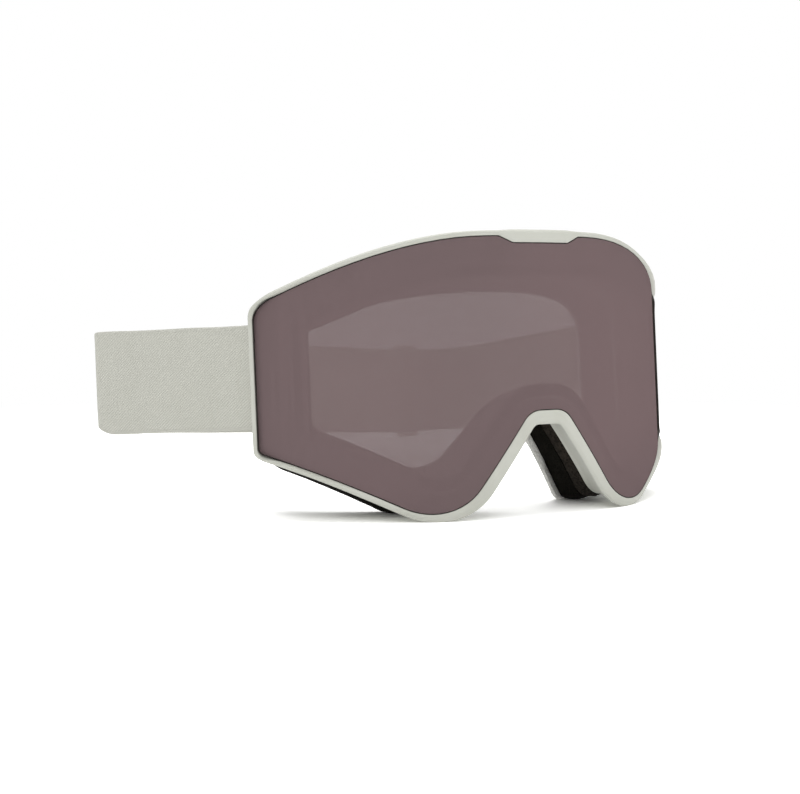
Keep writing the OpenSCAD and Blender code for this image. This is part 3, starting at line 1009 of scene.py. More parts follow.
@dataclass
class MaskShape:
    """Sizes of the mask, in millimetres in its own upright frame, and its stance."""

    lens_r: float = 110.0
    face_r: float = 88.0
    face_front: float = 34.5
    foam_t: float = 22.0
    nose_in: float = 10.0
    nose_reach: float = 38.1
    flange_t: float = 2.0
    lens_t: float = 1.3
    lens_gap: float = 0.6
    seat_depth: float = 3.3
    step_depth: float = 1.9
    seat_back: float = 5.3
    # middle and half height of the upright sides, and how far up their two ends move
    # for each millimetre that they draw in
    side_mid: float = -43.8
    side_half: float = 24.1
    side_draws: Point2 = (1.0, -0.557)
    # where the rim's side corners begin to stand out, and over what width and height
    flare_from: float = 55.0
    flare_over: Point2 = (25.0, 5.0)
    lean: float = 4.3
    strap_z: float = -42.7
    strap_w: float = 38.0
    strap_t: float = 1.8
    pin: Point2 = (81.0, 58.3)
    pin_r: float = 1.6
    offset: Vector = field(default_factory=lambda: Vector((0.0, 0.0, 0.0)))
    pocket: Outline = Outline(
        (
            (12, 0, 2.2),
            (17.5, 2.4, 3),
            (55.6, 2.2, 120),
            (90, -18.7, 9),
            (90, -68.9, 2.5),
            (38.1, -97.8, 20),
            (7.6, -58.3, 8.5),
        )
    )
    flange_outer: Outline = Outline(
        (
            (10, -0.6, 6),
            (24, -0.2, 20),
            (52.6, -1.6, 90),
            (76.5, -20.7, 12),
            (76.5, -67.4, 9),
            (37.1, -95.8, 15),
            (7.2, -59.3, 8),
        )
    )
    flange_inner: Outline = Outline(
        (
            (9, -12.6, 6),
            (22, -13, 20),
            (45.6, -15.6, 60),
            (71, -28.4, 6),
            (70.5, -60.5, 9),
            (31.1, -83.8, 12),
            (9.6, -51, 7),
        )
    )
    face_outer: Outline = Outline(
        (
            (8, -1, 6),
            (22, -1.4, 20),
            (48.6, -3.6, 80),
            (75, -22.7, 12),
            (75, -72.5, 9),
            (37, -95.0, 9),
            (6, -63.3, 6),
        )
    )
    face_inner: Outline = Outline(
        (
            (8, -14.6, 6),
            (22, -15.2, 20),
            (42, -17.6, 50),
            (66.5, -28.4, 12),
            (65, -61.5, 7),
            (28, -79.8, 11),
            (8.5, -55.5, 6),
        )
    )
    # how far the pocket's eight edges move out to the rim and its rear, and in to the
    # window
    rim: tuple[float, ...] = (4.7, 3.29, 1.9, 1.9, 0.7, 2.1, 4.8, 5.0)
    rear: tuple[float, ...] = (3.7, 2.29, 0.6, 0.3, -3.0, -0.5, 2.4, 4.0)
    seat: tuple[float, ...] = (7.0, 8.0, 9.0, 9.0, 9.0, 8.5, 4.5, 4.5)
    arc: int = 12
    edge: int = 10

    def lens_y(self, x: float, depth: float) -> float:
        """Distance back of the lens curve at x, some way below its front."""
        return self.lens_r - math.sqrt((self.lens_r - depth) ** 2 - x * x)

    def face_y(self, x: float) -> float:
        """Distance back of the curve of the face side at x."""
        return self.face_front + self.face_r - math.sqrt(self.face_r**2 - x * x)

    def flange_y(self, x: float) -> float:
        """Distance back of the front of the flange at x."""
        return self.face_y(x) - self.foam_t - self.flange_t

    def stand(self, p: Point3) -> Point3:
        """Lean a point of the mask back, set it on the floor and turn it to metres.

        Args:
            p: The point in the mask's upright frame, in millimetres.

        Returns:
            The point in the row frame, in metres.
        """
        a = math.radians(self.lean)
        x, y, z = p
        return (
            (x + self.offset.x) * MM,
            (y * math.cos(a) + z * math.sin(a) + self.offset.y) * MM,
            (z * math.cos(a) - y * math.sin(a) + self.offset.z) * MM,
        )

    def stand_all(self, rings: Iterable[Loop]) -> list[Loop]:
        """Stand loops, pressed flat where they meet the floor."""
        stood = [[self.stand(p) for p in ring] for ring in rings]
        return [[(x, y, max(0.0, z)) for x, y, z in ring] for ring in stood]

    def rimmed(self, moves: Sequence[float]) -> Outline:
        """The pocket moved outwards, with its notch filled up to the tab.

        Args:
            moves: One distance for each of the eight edges.

        Returns:
            The outline.
        """
        (tab_x, _, _), (notch_x, notch_z, _) = self.pocket.half[:2]
        first = (tab_x, moves[0], 4.0)
        second = (notch_x, notch_z + moves[2], 12.0)
        return Outline((first, second, *self.pocket.grown(moves).half[2:]))

    def flare(self, x: float, z: float) -> float:
        """Share of the extra rise of the rim: whole at the side corners only.

        Args:
            x: Distance from the middle.
            z: Height.

        Returns:
            The share.
        """
        across, up = self.flare_over
        beside = abs(z - self.side_mid) - self.side_half
        return smooth((abs(x) - self.flare_from) / across) * smooth(beside / up)

    def on_lens(self, outline: Outline, depth: float, rise: float = 0.0) -> Loop:
        """Lay an outline on the lens curve.

        Args:
            outline: The outline.
            depth: How far below the lens front.
            rise: How far the side corners stand out.

        Returns:
            The loop.
        """
        return [
            (x, self.lens_y(x, depth - rise * self.flare(x, z)), z)
            for x, z in outline.points(self.arc, self.edge)
        ]

    def in_pocket(self, outline: Outline, depth: float) -> Loop:
        """Lay an outline on the lens curve with sides that draw in square to it.

        Args:
            outline: The outline.
            depth: How far below the lens front.

        Returns:
            The loop.
        """
        widest = outline.half[3][0] * (self.lens_r - depth) / self.lens_r
        above, below = self.side_draws
        out: Loop = []
        for x, z in outline.points(self.arc, self.edge):
            over = max(0.0, abs(x) - widest)
            near = max(-widest, min(widest, x))
            draw = above if z > self.side_mid else below
            out.append((near, self.lens_y(near, depth), z + over * draw))
        return out

    def on_face(self, outline: Outline, ahead: float) -> Loop:
        """Lay an outline on the face curve, some way in front of it.

        Args:
            outline: The outline.
            ahead: How far in front of the curve.

        Returns:
            The loop.
        """
        return [
            (x, self.face_y(x) - ahead, z)
            for x, z in outline.points(self.arc, self.edge)
        ]

    def on_foam(self, outline: Outline, ahead: float) -> Loop:
        """Lay an outline in the foam, which is thinner over the nose.

        Args:
            outline: The outline.
            ahead: How far in front of the face curve.

        Returns:
            The loop.
        """
        thin = (1 - ahead / self.foam_t) * self.nose_in
        return [
            (x, y - thin * smooth(1 - abs(x) / self.nose_reach), z)
            if z < self.strap_z
            else (x, y, z)
            for x, y, z in self.on_face(outline, ahead)
        ]

    def window(self) -> Outline:
        """Opening of the frame behind the lens."""
        return self.pocket.grown([-d for d in self.seat])

    def settle(self) -> None:
        """Find the offset that puts the drawn lens where the solid one is."""
        lens = self.pocket.shrunk(self.lens_gap)
        loops = [self.in_pocket(lens, 0.0), self.in_pocket(lens, self.lens_t)]
        spots = [Vector(self.stand(p)) for loop in loops for p in loop]
        low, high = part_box("outer_lens")
        self.offset = Vector(
            (
                0.0,
                (low.y - min(s.y for s in spots)) / MM,
                (high.z - max(s.z for s in spots)) / MM,
            )
        )
        LOG.info("stance offset %s mm", [round(c, 3) for c in self.offset])


# Lens unit


@dataclass
class LensUnit:
    """The lens unit: two lenses, the seal between them, the gasket and its magnets."""

    shape: MaskShape
    columns: int = 180
    rows: int = 10
    arc: int = 24
    edge: int = 12
    crowding: float = 0.35
    edge_in: float = 0.004
    inset: float = 0.34
    inner_gap: float = 0.6
    inner_depths: Point2 = (4.5, 5.3)
    lip_rise: float = 1.6
    lip_lean: float = 34.0
    # how far inside the side the lip begins to rise, and over what width
    lip_reach: Point2 = (7.0, 6.0)
    # loops deeper than this are the lip's foot, which stays in the pocket
    lip_foot: float = 0.5
    # inset from the pocket and depth below the lens front
    lip_section: tuple[Point2, ...] = (
        (0.08, 0.8),
        (0.08, 0.0),
        (0.15, -0.05),
        (0.22, 0.0),
        (0.22, 0.8),
    )

    def columns_at(
        self, points: list[Point2], angles: list[float], depth: float
    ) -> list[Loop]:
        """Lay upright columns of points over one face of a bent pane.

        Args:
            points: The pane's outline at its front.
            angles: Where the columns stand round the bend.
            depth: How far the face lies below the lens front.

        Returns:
            The columns.
        """
        s = self.shape
        shrink = (s.lens_r - depth) / s.lens_r
        out = []
        for angle in angles:
            x_front = s.lens_r * math.sin(angle)
            low, high = crossing(points, x_front)
            x = x_front * shrink
            y = s.lens_y(x, depth)
            levels = (low + (high - low) * r / self.rows for r in range(self.rows + 1))
            out.append([(x, y, z) for z in levels])
        return out

    def pane(self, piece: Piece, outline: Outline, front: float, back: float) -> None:
        """Add a bent pane with upright strips, so that its curve shades evenly.

        Args:
            piece: The piece that gets the mesh.
            outline: Its outline at the front.
            front, back: Depths of its two faces.
        """
        points = outline.points(self.arc, self.edge)
        widest = max(x for x, _ in points) - self.edge_in
        side = math.asin(widest / self.shape.lens_r)
        angles = []
        for k in range(self.columns + 1):
            t = 2 * k / self.columns - 1
            angles.append(side * (t * (1 + self.crowding - self.crowding * t * t)))
        columns = self.columns_at(points, angles, front)
        columns += self.columns_at(points, angles, back)
        nc, nr = len(angles), self.rows + 1
        half = nc * nr
        faces: list[tuple[int, ...]] = []
        for c in range(nc - 1):
            for r in range(nr - 1):
                a, b = c * nr + r, (c + 1) * nr + r
                faces.append((a, b, b + 1, a + 1))
                faces.append((half + a, half + a + 1, half + b + 1, half + b))
            a, b = c * nr, (c + 1) * nr
            faces.append((a, half + a, half + b, b))
            a, b = a + nr - 1, b + nr - 1
            faces.append((a, b, half + b, half + a))
        for c in (0, nc - 1):
            for r in range(nr - 1):
                a = c * nr + r
                faces.append((a, a + 1, half + a + 1, half + a))
        piece.add([self.shape.stand(p) for column in columns for p in column], faces)

    def lip(self) -> None:
        """Build the thin rubber lip of the gasket, which stands up at the sides."""
        s = self.shape
        start = s.pocket.half[3][0] - self.lip_reach[0]
        lean = math.radians(self.lip_lean)
        rings = []
        for inset, depth in self.lip_section:
            loop = []
            for x, z in s.pocket.shrunk(inset).points(s.arc, s.edge):
                rise = self.lip_rise * smooth((abs(x) - start) / self.lip_reach[1])
                if depth > self.lip_foot:
                    rise = 0.0
                foot = x * (s.lens_r - depth) / s.lens_r
                out = foot + math.copysign(rise * math.sin(lean), x)
                loop.append((out, s.lens_y(foot, depth) - rise * math.cos(lean), z))
            rings.append(loop)
        piece = Piece("gasket_lip", SoftRubber(), "gasket", "lens_unit")
        piece.add_rings(s.stand_all(rings))
        piece.make(60)

    def build(self, nodes: Mapping[str, bpy.types.Object]) -> None:
        """Build the panes and finish the solids that stay.

        Args:
            nodes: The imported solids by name.
        """
        s = self.shape
        outer = Piece("tinted_outer_lens", TintedLens(), "lens_tint", "lens_unit")
        outer.stands_for = ("outer_lens",)
        self.pane(outer, s.pocket.shrunk(self.inset), 0.0, s.lens_t)
        outer.make()
        inner = Piece("clear_inner_lens", ClearLens(), "lens_clear", "lens_unit")
        inner.stands_for = ("inner_lens",)
        self.pane(inner, s.window().shrunk(self.inner_gap), *self.inner_depths)
        inner.make()
        self.lip()
        seal = OpenFoam("seal_foam", srgb(24, 22, 22), srgb(40, 38, 37), 2600)
        repaint(nodes["lens_gasket"], SoftRubber())
        repaint(nodes["lens_spacer"], seal)
        repaint(nodes["lens_magnets"], PlatedMetal())


# Frame


@dataclass
class Frame:
    """The moulded frame with its rim, seat, skin, flange, vents and strap lugs."""

    shape: MaskShape
    proud: float = 0.3
    corner_proud: float = 1.5
    skin: float = 2.4
    step_in: float = 1.6
    crease: float = 28.0
    vents: int = 6
    vent_length: float = 12.0
    vent_width: float = 3.4
    vent_space: float = 6.0
    vent_reach: float = 7.0
    vent_level: float = 2.4
    vent_flat: float = 13.0
    vent_fall: float = 240.0
    vent_chords: int = 8
    lug_wall: float = 1.4
    lug_t: float = 3.0
    lug_edge: float = 0.35
    lug_gap: float = 0.7
    lug_start: float = -14.0
    lug_sweep: float = 214.0
    lug_chords: int = 24
    lug_bore: float = 1.01
    lug_foot: tuple[Point2, ...] = ((-5.5, -8.8), (1.5, -8.8))

    def profile(self) -> tuple[list[Loop], list[float]]:
        """Lay the loops of the frame's section.

        Returns:
            The loops from the pocket round the outside and back, and how far each edge
            is rounded.
        """
        s = self.shape
        window = s.window()
        step = s.pocket.shrunk(self.step_in)
        edge = s.foam_t + s.flange_t
        front_in = s.rimmed([0.35 * d for d in s.rim])
        front_out = s.rimmed([0.8 * d for d in s.rim])
        inside = s.rimmed([d - self.skin for d in s.rear])
        flange_skin = s.flange_outer.shrunk(self.skin)
        rise = self.corner_proud
        loops = [
            (s.in_pocket(s.pocket, 0.0), 0.25),
            (s.on_lens(front_in, -self.proud, 0.5 * rise), 0.5),
            (s.on_lens(front_out, -0.7 * self.proud, rise), 0.6),
            (s.on_lens(s.rimmed(s.rim), 0.8, rise), 0.9),
            (s.on_lens(s.rimmed(s.rear), s.seat_back + 0.1), 1.6),
            (s.on_face(s.flange_outer, edge), 1.2),
            (s.on_face(s.flange_outer, s.foam_t), 0.0),
            (s.on_face(s.flange_inner, s.foam_t), 0.0),
            (s.on_face(s.flange_inner, edge), 0.4),
            (s.on_face(flange_skin, edge), 0.8),
            (s.on_lens(inside, s.seat_back), 0.6),
            (s.on_lens(window, s.seat_back), 0.3),
            (s.on_lens(window, s.seat_depth), 0.2),
            (s.in_pocket(step, s.seat_depth), 0.0),
            (s.in_pocket(step, s.step_depth), 0.0),
            (s.in_pocket(s.pocket, s.step_depth), 0.0),
        ]
        return [loop for loop, _ in loops], [radius for _, radius in loops]

    def slot_tool(self, index: int) -> bpy.types.Object:
        """Make the cutter of one vent, a long hole with round ends.

        Args:
            index: Number of the vent along the top.

        Returns:
            The cutter.
        """
        s = self.shape
        x = (index - (self.vents - 1) / 2) * (self.vent_length + self.vent_space)
        y = (s.lens_y(x, s.seat_back) + s.flange_y(x)) / 2
        z = self.vent_level - max(0.0, abs(x) - self.vent_flat) ** 2 / self.vent_fall
        turn = math.asin(x / s.lens_r)
        r = self.vent_width / 2
        flat = self.vent_length / 2 - r
        ring = []
        for side in (1, -1):
            for k in range(self.vent_chords + 1):
                du, dv = ray(r, math.pi * (k / self.vent_chords - 0.5))
                ring.append((side * (flat + du), side * dv))
        rings = []
        for level in (-self.vent_reach, self.vent_reach):
            loop = []
            for u, v in ring:
                px = x + u * math.cos(turn) - v * math.sin(turn)
                py = y + u * math.sin(turn) + v * math.cos(turn)
                loop.append(s.stand((px, py, z + level)))
            rings.append(loop)
        tool = Piece("vent_cutter", SoftMoulding(), "frame")
        tool.add_rings(rings, closed=False)
        return put(tool.name, tool.mesh())

    def lug(self, piece: Piece, side: int, z: float) -> None:
        """Add the ear that carries one end of a strap pin.

        Args:
            piece: The piece that gets the mesh.
            side: -1 on the left, 1 on the right.
            z: Level of its lower face.
        """
        s = self.shape
        start, sweep = math.radians(self.lug_start), math.radians(self.lug_sweep)
        chords = self.lug_chords
        outer, inner = s.pin_r + self.lug_wall, s.pin_r * self.lug_bore
        ear = [ray(outer, start + sweep * k / chords) for k in range(chords + 1)]
        ear += self.lug_foot
        turn = 2 * math.pi / len(ear)
        hole = [ray(inner, start + turn * k) for k in range(len(ear))]
        bevel, top = self.lug_edge, self.lug_t
        rings: list[Loop] = []
        for loop, level, inset in (
            (hole, 0.0, 0.0),
            (ear, 0.0, bevel),
            (ear, bevel, 0.0),
            (ear, top - bevel, 0.0),
            (ear, top, bevel),
            (hole, top, 0.0),
        ):
            ring = []
            for u, v in loop:
                size = math.hypot(u, v)
                k = (size - inset) / size
                spot = (side * (s.pin[0] + u * k), s.pin[1] + v * k, z + level)
                ring.append(s.stand(spot))
            rings.append(ring)
        piece.add_rings(rings)

    def build(self, nodes: Mapping[str, bpy.types.Object]) -> None:
        """Build the shell, cut its vents and add the lugs.

        Args:
            nodes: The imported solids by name.
        """
        s = self.shape
        loops, radii = self.profile()
        shell = Piece("frame_shell", SoftMoulding(), "frame", stands_for=("frame",))
        shell.add_rings(s.stand_all(rounded_rings(loops, radii)))
        body = shell.make(self.crease)
        cut(body, [self.slot_tool(i) for i in range(self.vents)])
        shade(body.data, self.crease)
        lugs = Piece("strap_lugs", SoftMoulding(), "frame")
        reach = s.strap_w / 2 + self.lug_gap
        for side in (-1, 1):
            self.lug(lugs, side, s.strap_z + reach)
            self.lug(lugs, side, s.strap_z - reach - self.lug_t)
        lugs.make(35)
        for name in ("frame_magnets", "left_strap_pin", "right_strap_pin"):
            repaint(nodes[name], PlatedMetal())


# Foam


def roughened(rings: list[Loop], size: float, grain: float) -> list[Loop]:
    """Sink a skin here and there, as a cut through foam isn't quite even.

    Args:
        rings: The loops of the closed skin.
        size: How deep it sinks.
        grain: Hollows to a millimetre.

    Returns:
        The uneven loops.
    """
    out: list[Loop] = []
    m = len(rings)
    for j, loop in enumerate(rings):
        before, after = rings[j - 1], rings[(j + 1) % m]
        n = len(loop)
        moved = []
        for i, p in enumerate(loop):
            v = Vector(p)
            along = Vector(loop[(i + 1) % n]) - Vector(loop[i - 1])
            over = Vector(after[i]) - Vector(before[i])
            normal = along.cross(over)
            if normal.length > 1e-9:
                normal.normalize()
            jag = noise.noise(v * grain) + 0.5 * noise.noise(v * grain * 2.3)
            moved.append(tuple(v - normal * (abs(jag) * size)))
        out.append(moved)
    return out


@dataclass(frozen=True)
class Layer:
    """One bonded layer of foam, in millimetres."""

    node: str
    finish: Finish
    start: float
    end: float
    edges: tuple[float, ...]
    swell: float
    crown: float
    rough: float
    grain: float
    fill: float
    crease: float = 50.0


@dataclass
class FaceFoam:
    """The three bonded layers on the face side and the foam in the vents."""

    shape: MaskShape
    base: float = 7.5
    middle: float = 11.5
    glue: float = 0.05
    side_steps: int = 7
    face_steps: int = 5
    crown_from: float = 0.6
    base_edges: tuple[float, ...] = (0.0, 0.0, 0.0, 0.0, -1.2, 0.4, 0.0, 0.0)
    face_edges: tuple[float, ...] = (0.0, 0.0, 0.0, 0.0, -1.8, 0.7, 0.0, 0.0)
    fleece_edges: tuple[float, ...] = (0.0, 0.0, 0.0, -0.3, -2.6, -2.2, 2.2, 0.6)
    channel_walls: Point2 = (2.7, 6.7)
    channel_gap: float = 0.35
    channel_steps: int = 4
    # hollows to a millimetre and their depth
    channel_pits: Point2 = (1.4, 0.35)
    # name, and the lowest and highest x and z of each stretch
    channels: tuple[tuple[str, Point2, Point2], ...] = (
        ("top_vent_foam", (-70.2, -26.0), (70.2, 10.0)),
        ("left_vent_foam", (-71.5, -90.0), (-44.0, -66.0)),
        ("right_vent_foam", (44.0, -90.0), (71.5, -66.0)),
    )

    def layers(self) -> list[Layer]:
        """List the layers from the frame to the face.

        Returns:
            The layers.
        """
        glue, first, second = self.glue, self.base, self.base + self.middle
        brown = OpenFoam("base_foam", srgb(26, 23, 20), srgb(52, 47, 42), 1300)
        black = OpenFoam("face_foam", srgb(9, 8, 6), srgb(26, 24, 20), 1900)
        return [
            Layer(
                "base_foam", brown, 0.0, first - glue, self.base_edges,
                swell=0.5, crown=0.1, rough=0.55, grain=0.9, fill=0.8,
            ),
            Layer(
                "face_foam", black, first + glue, second - glue, self.face_edges,
                swell=0.6, crown=0.1, rough=0.4, grain=0.8, fill=0.7,
            ),
            Layer(
                "fleece", BrushedFleece(), second + glue, self.shape.foam_t,
                self.fleece_edges,
                swell=0.6, crown=0.4, rough=0.5, grain=1.7, fill=0.5, crease=60.0,
            ),
        ]

    def ring(self, layer: Layer, share: float, grow: float, inner: bool) -> Loop:
        """Lay one loop of a layer's outer or inner side.

        Args:
            layer: The layer.
            share: Place in the whole thickness, from 0 at the frame to 1 at the face.
            grow: How far the side stands out there.
            inner: Whether it is the inner side.

        Returns:
            The loop.
        """
        s = self.shape
        if inner:
            outline = s.flange_inner.blended(s.face_inner, share).grown([-grow] * 8)
        else:
            moves = [grow + edge for edge in layer.edges]
            outline = s.flange_outer.blended(s.face_outer, share).grown(moves)
        return s.on_foam(outline, s.foam_t * (1 - share))

    def side(self, layer: Layer, inner: bool) -> list[Loop]:
        """Lay the loops of one side of a layer, which swells and rounds to the face.

        Args:
            layer: The layer.
            inner: Whether it is the inner side.

        Returns:
            The loops from the frame to the face.
        """
        out = []
        for k in range(self.side_steps + 1):
            t = k / self.side_steps
            share = (layer.start + (layer.end - layer.start) * t) / self.shape.foam_t
            drop = max(0.0, t - self.crown_from) / (1 - self.crown_from)
            bulge = layer.swell * math.sin(math.pi * t) - layer.crown * drop
            out.append(self.ring(layer, share, bulge, inner))
        return out

    def lay(self, layer: Layer) -> None:
        """Args:
            layer: The layer.
        """
        outer, inner = self.side(layer, False), self.side(layer, True)
        share = layer.end / self.shape.foam_t
        opposite = self.ring(layer, share, -layer.crown, True)
        face = [
            [lerp(p, q, k / self.face_steps) for p, q in zip(outer[-1], opposite)]
            for k in range(1, self.face_steps)
        ]
        rings = roughened(outer + face + inner[::-1], layer.rough, layer.grain)
        name, node = layer.node + "_layer", layer.node
        piece = Piece(name, layer.finish, node, stands_for=(node,))
        piece.add_rings(self.shape.stand_all(rings))
        piece.make(layer.crease)

    def channel(self, piece: Piece, low: Point2, high: Point2) -> None:
        """Add foam to the channel behind the seat.

        Args:
            piece: The piece that gets the mesh.
            low, high: Corners in x and z of the stretch that it fills.
        """
        s = self.shape
        wall, inside = (
            s.flange_outer.shrunk(d).points(s.arc, s.edge) for d in self.channel_walls
        )
        chosen = [
            i
            for i, (x, z) in enumerate(wall)
            if low[0] <= x <= high[0] and low[1] <= z <= high[1]
        ]
        if chosen[0] == 0 and chosen[-1] == len(wall) - 1:
            pairs = enumerate(zip(chosen, chosen[1:]))
            gap = next(k for k, (i, j) in pairs if j - i > 1)
            chosen = chosen[gap + 1 :] + chosen[: gap + 1]
        steps = self.channel_steps
        grain, depth = self.channel_pits
        rings: list[Loop] = []
        for i in chosen:
            (ax, az), (bx, bz) = wall[i], inside[i]
            corners = [
                (ax, s.flange_y(ax) - self.channel_gap, az),
                (ax, s.lens_y(ax, s.seat_back) + self.channel_gap, az),
                (bx, s.lens_y(bx, s.seat_back) + self.channel_gap, bz),
                (bx, s.flange_y(bx) - self.channel_gap, bz),
            ]
            middle = Vector(lerp(corners[0], corners[2], 0.5))
            loop: Loop = []
            for c in range(4):
                for k in range(steps):
                    p = Vector(lerp(corners[c], corners[(c + 1) % 4], k / steps))
                    pull = abs(noise.noise(p * grain)) * depth
                    loop.append(s.stand(tuple(p + (middle - p).normalized() * pull)))
            rings.append(loop)
        piece.add_rings(rings, closed=False)

    def build(self) -> None:
        """Build every foam piece."""
        for layer in self.layers():
            self.lay(layer)
        foam = OpenFoam("vent_foam", srgb(36, 35, 34), srgb(62, 60, 58), 900)
        for name, low, high in self.channels:
            strip = Piece(name + "_strip", foam, "vent_foam", stands_for=(name,))
            self.channel(strip, low, high)
            strip.make(50)


# Strap


class Side(Enum):
    """The two bands of the strap."""

    LEFT = -1
    RIGHT = 1


@dataclass
class Strap:
    """The woven strap: two bands, their stitches, the adjuster and the tail keeper."""

    shape: MaskShape
    gap: float = 0.25
    bar_gap: float = 0.3
    bend_x: float = 104.0
    left_bend_y: float = 155.0
    right_bend_y: float = 209.0
    bend_r: float = 10.0
    bend_rise: float = 1.0
    bend_chords: int = 14
    # where a band eases off its own line for its pin and for the adjuster's bar
    pin_ease: Point2 = (10.0, 3.0)
    ring_ease: Point2 = (9.5, 6.2)
    ease_r: float = 4.0
    snug: float = 0.98
    ring_sag: float = 6.0
    ring_back: float = 30.0
    bar_r: float = 1.4
    bar_x: float = 5.5
    bar_fit: float = 0.98
    bar_square: float = 0.8
    middle_bar_r: float = 1.15
    middle_waist: float = 0.12
    middle_in: float = 0.4
    ring_corner: float = 1.0
    rail: float = 1.8
    ring_play: float = 1.0
    tail_at: float = 30.0
    tail_end: float = 17.0
    sewn: float = 20.0
    edge_r: float = 0.8
    rows: int = 14
    # how high the lower edge folds up at the left bend, and over what length
    fold: Point2 = (3.2, 7.5)
    # share by which the left band widens at its bend and narrows at its pin, and reach
    widen: Point2 = (0.05, 30.0)
    narrow: Point2 = (0.035, 45.0)
    # size of the unevenness up and out of a band, and its pace along and across
    wave: Point2 = (0.12, 0.05)
    ripple: Point3 = (0.06, 0.09, 0.12)
    keeper_at: float = 101.0
    keeper_wall: float = 1.4
    keeper_half: float = 5.5
    keeper_corner: float = 0.5
    # play through and across the strap
    keeper_play: Point2 = (0.8, 1.6)
    # half width and half height of a thread, and how far its middle is off the webbing
    thread_r: Point2 = (0.24, 0.2)
    thread_off: float = 0.16
    stitch_half: float = 15.0
    stitch_swing: float = 0.85
    stitch_steps: int = 36
    pin_stitches: Point2 = (14.2, 17.8)
    ring_stitches: Point2 = (11.6, 15.2)

    def __post_init__(self) -> None:
        """Work out the bends, the runs and the levels."""
        s, t = self.shape, self.shape.strap_t
        self.wrap = s.pin_r + self.bar_gap + t / 2
        self.left_bend = Vector((t / 2 - self.bend_x, self.left_bend_y))
        self.right_bend = Vector((self.bend_x - t / 2, self.right_bend_y))
        span = self.right_bend - self.left_bend
        self.back_u = span.normalized()
        self.back_n = Vector((-self.back_u.y, self.back_u.x))
        self.ring_at = span.length - self.ring_back
        self.slope = (-self.ring_sag - self.bend_rise) / self.ring_at
        self.tail_n = -t - self.gap
        self.ring_n = -(t + self.gap) / 2
        self.ring_wrap = self.bar_r + self.bar_gap + t / 2

    def bend(self, side: Side) -> Vector:
        """The bend of a band."""
        return self.left_bend if side is Side.LEFT else self.right_bend

    def run(self, side: Side) -> tuple[Vector, Vector, Vector]:
        """Find the run from a pin to its bend, seen from above.

        Args:
            side: Which band.

        Returns:
            Its start, its direction and its outward normal.
        """
        k = side.value
        pin = Vector((k * self.shape.pin[0], self.shape.pin[1]))
        d = self.bend(side) - pin
        a = k * math.asin(self.wrap / d.length)
        d.normalize()
        c, s = math.cos(a), math.sin(a)
        u = Vector((d.x * c - d.y * s, d.x * s + d.y * c))
        n = Vector((-u.y, u.x)) * -k
        return pin + n * self.wrap, u, n

    def back(self, u: float, n: float) -> Vector:
        """A point of the back run, from the adjuster along and out."""
        return self.left_bend + self.back_u * (self.ring_at + u) + self.back_n * n

    def stops(self, side: Side) -> list[tuple[Vector, float, float]]:
        """Corners of a band's way, each with its level and radius.

        Args:
            side: Which band.

        Returns:
            The corners from the sewn end at the pin to the far end.
        """
        start, u, n = self.run(side)
        t, w, rw = self.shape.strap_t, self.wrap, self.ring_wrap
        tight, ring_tight, soft = w * self.snug, rw * self.snug, self.ease_r
        pin_far, pin_near = self.pin_ease
        ring_far, ring_near = self.ring_ease
        left = side is Side.LEFT
        k = side.value
        level = -self.ring_sag
        out, inside = self.ring_n + rw, self.ring_n - rw
        way = [
            (start + u * self.sewn - n * (t + self.gap), 0.0, 0.0),
            (start + u * pin_far - n * (t + self.gap), 0.0, soft),
            (start + u * pin_near - n * 2 * w, 0.0, soft),
            (start - u * w - n * 2 * w, 0.0, tight),
            (start - u * w, 0.0, tight),
            (self.bend(side), self.bend_rise if left else level, self.bend_r),
            (self.back(k * ring_far, 0), level, soft),
            (self.back(k * ring_near, out), level, soft),
            (self.back(k * (self.bar_x - rw), out), level, ring_tight),
            (self.back(k * (self.bar_x - rw), inside), level, ring_tight),
            (self.back(k * ring_near, inside), level, soft),
            (self.back(k * ring_far, self.tail_n), level, soft),
        ]
        if left:
            rise = self.bend_rise + self.slope * self.tail_at
            way.append((self.back(self.tail_at - self.ring_at, self.tail_n), rise, 0.0))
        else:
            way.append((self.back(self.tail_end, self.tail_n), level, 0.0))
        return way

    def line(self, side: Side, spacing: float = 1.6) -> list[Point3]:
        """Centre line of a band with its bends rounded.

        Args:
            side: Which band.
            spacing: Largest distance between points, in millimetres.

        Returns:
            Points as x, y and level.
        """
        way = self.stops(side)
        coarse: list[Point3] = []
        for i, (p, z, r) in enumerate(way):
            if i in (0, len(way) - 1):
                coarse.append((p.x, p.y, z))
                continue
            before, after = tuple(way[i - 1][0]), tuple(way[i + 1][0])
            arc = rounded_corner(before, tuple(p), after, r, self.bend_chords)
            coarse += [(x, y, z) for x, y in arc]
        fine: list[Point3] = [coarse[0]]
        for a, b in zip(coarse, coarse[1:]):
            size = math.dist(a[:2], b[:2])
            if size < 1e-6:
                continue
            count = max(1, math.ceil(size / spacing))
            fine += [lerp(a, b, k / count) for k in range(1, count + 1)]
        return fine

    def section(self) -> list[Point2]:
        """Lay the section of the webbing, with round edges.

        Returns:
            Its points, as distance out of and up the band.
        """
        t, h, r = self.shape.strap_t / 2, self.shape.strap_w / 2, self.edge_r
        rows, flat = self.rows, 2 * (h - r)
        turns = [math.radians(a) for a in (60, 30, 0, -30, -60)]
        out = [(t, -h + r + flat * k / rows) for k in range(rows + 1)]
        out += [(t * math.sin(c), h - r + r * math.cos(c)) for c in turns]
        out += [(-t, h - r - flat * k / rows) for k in range(rows + 1)]
        out += [(t * math.sin(-c), -h + r - r * math.cos(c)) for c in turns]
        return out

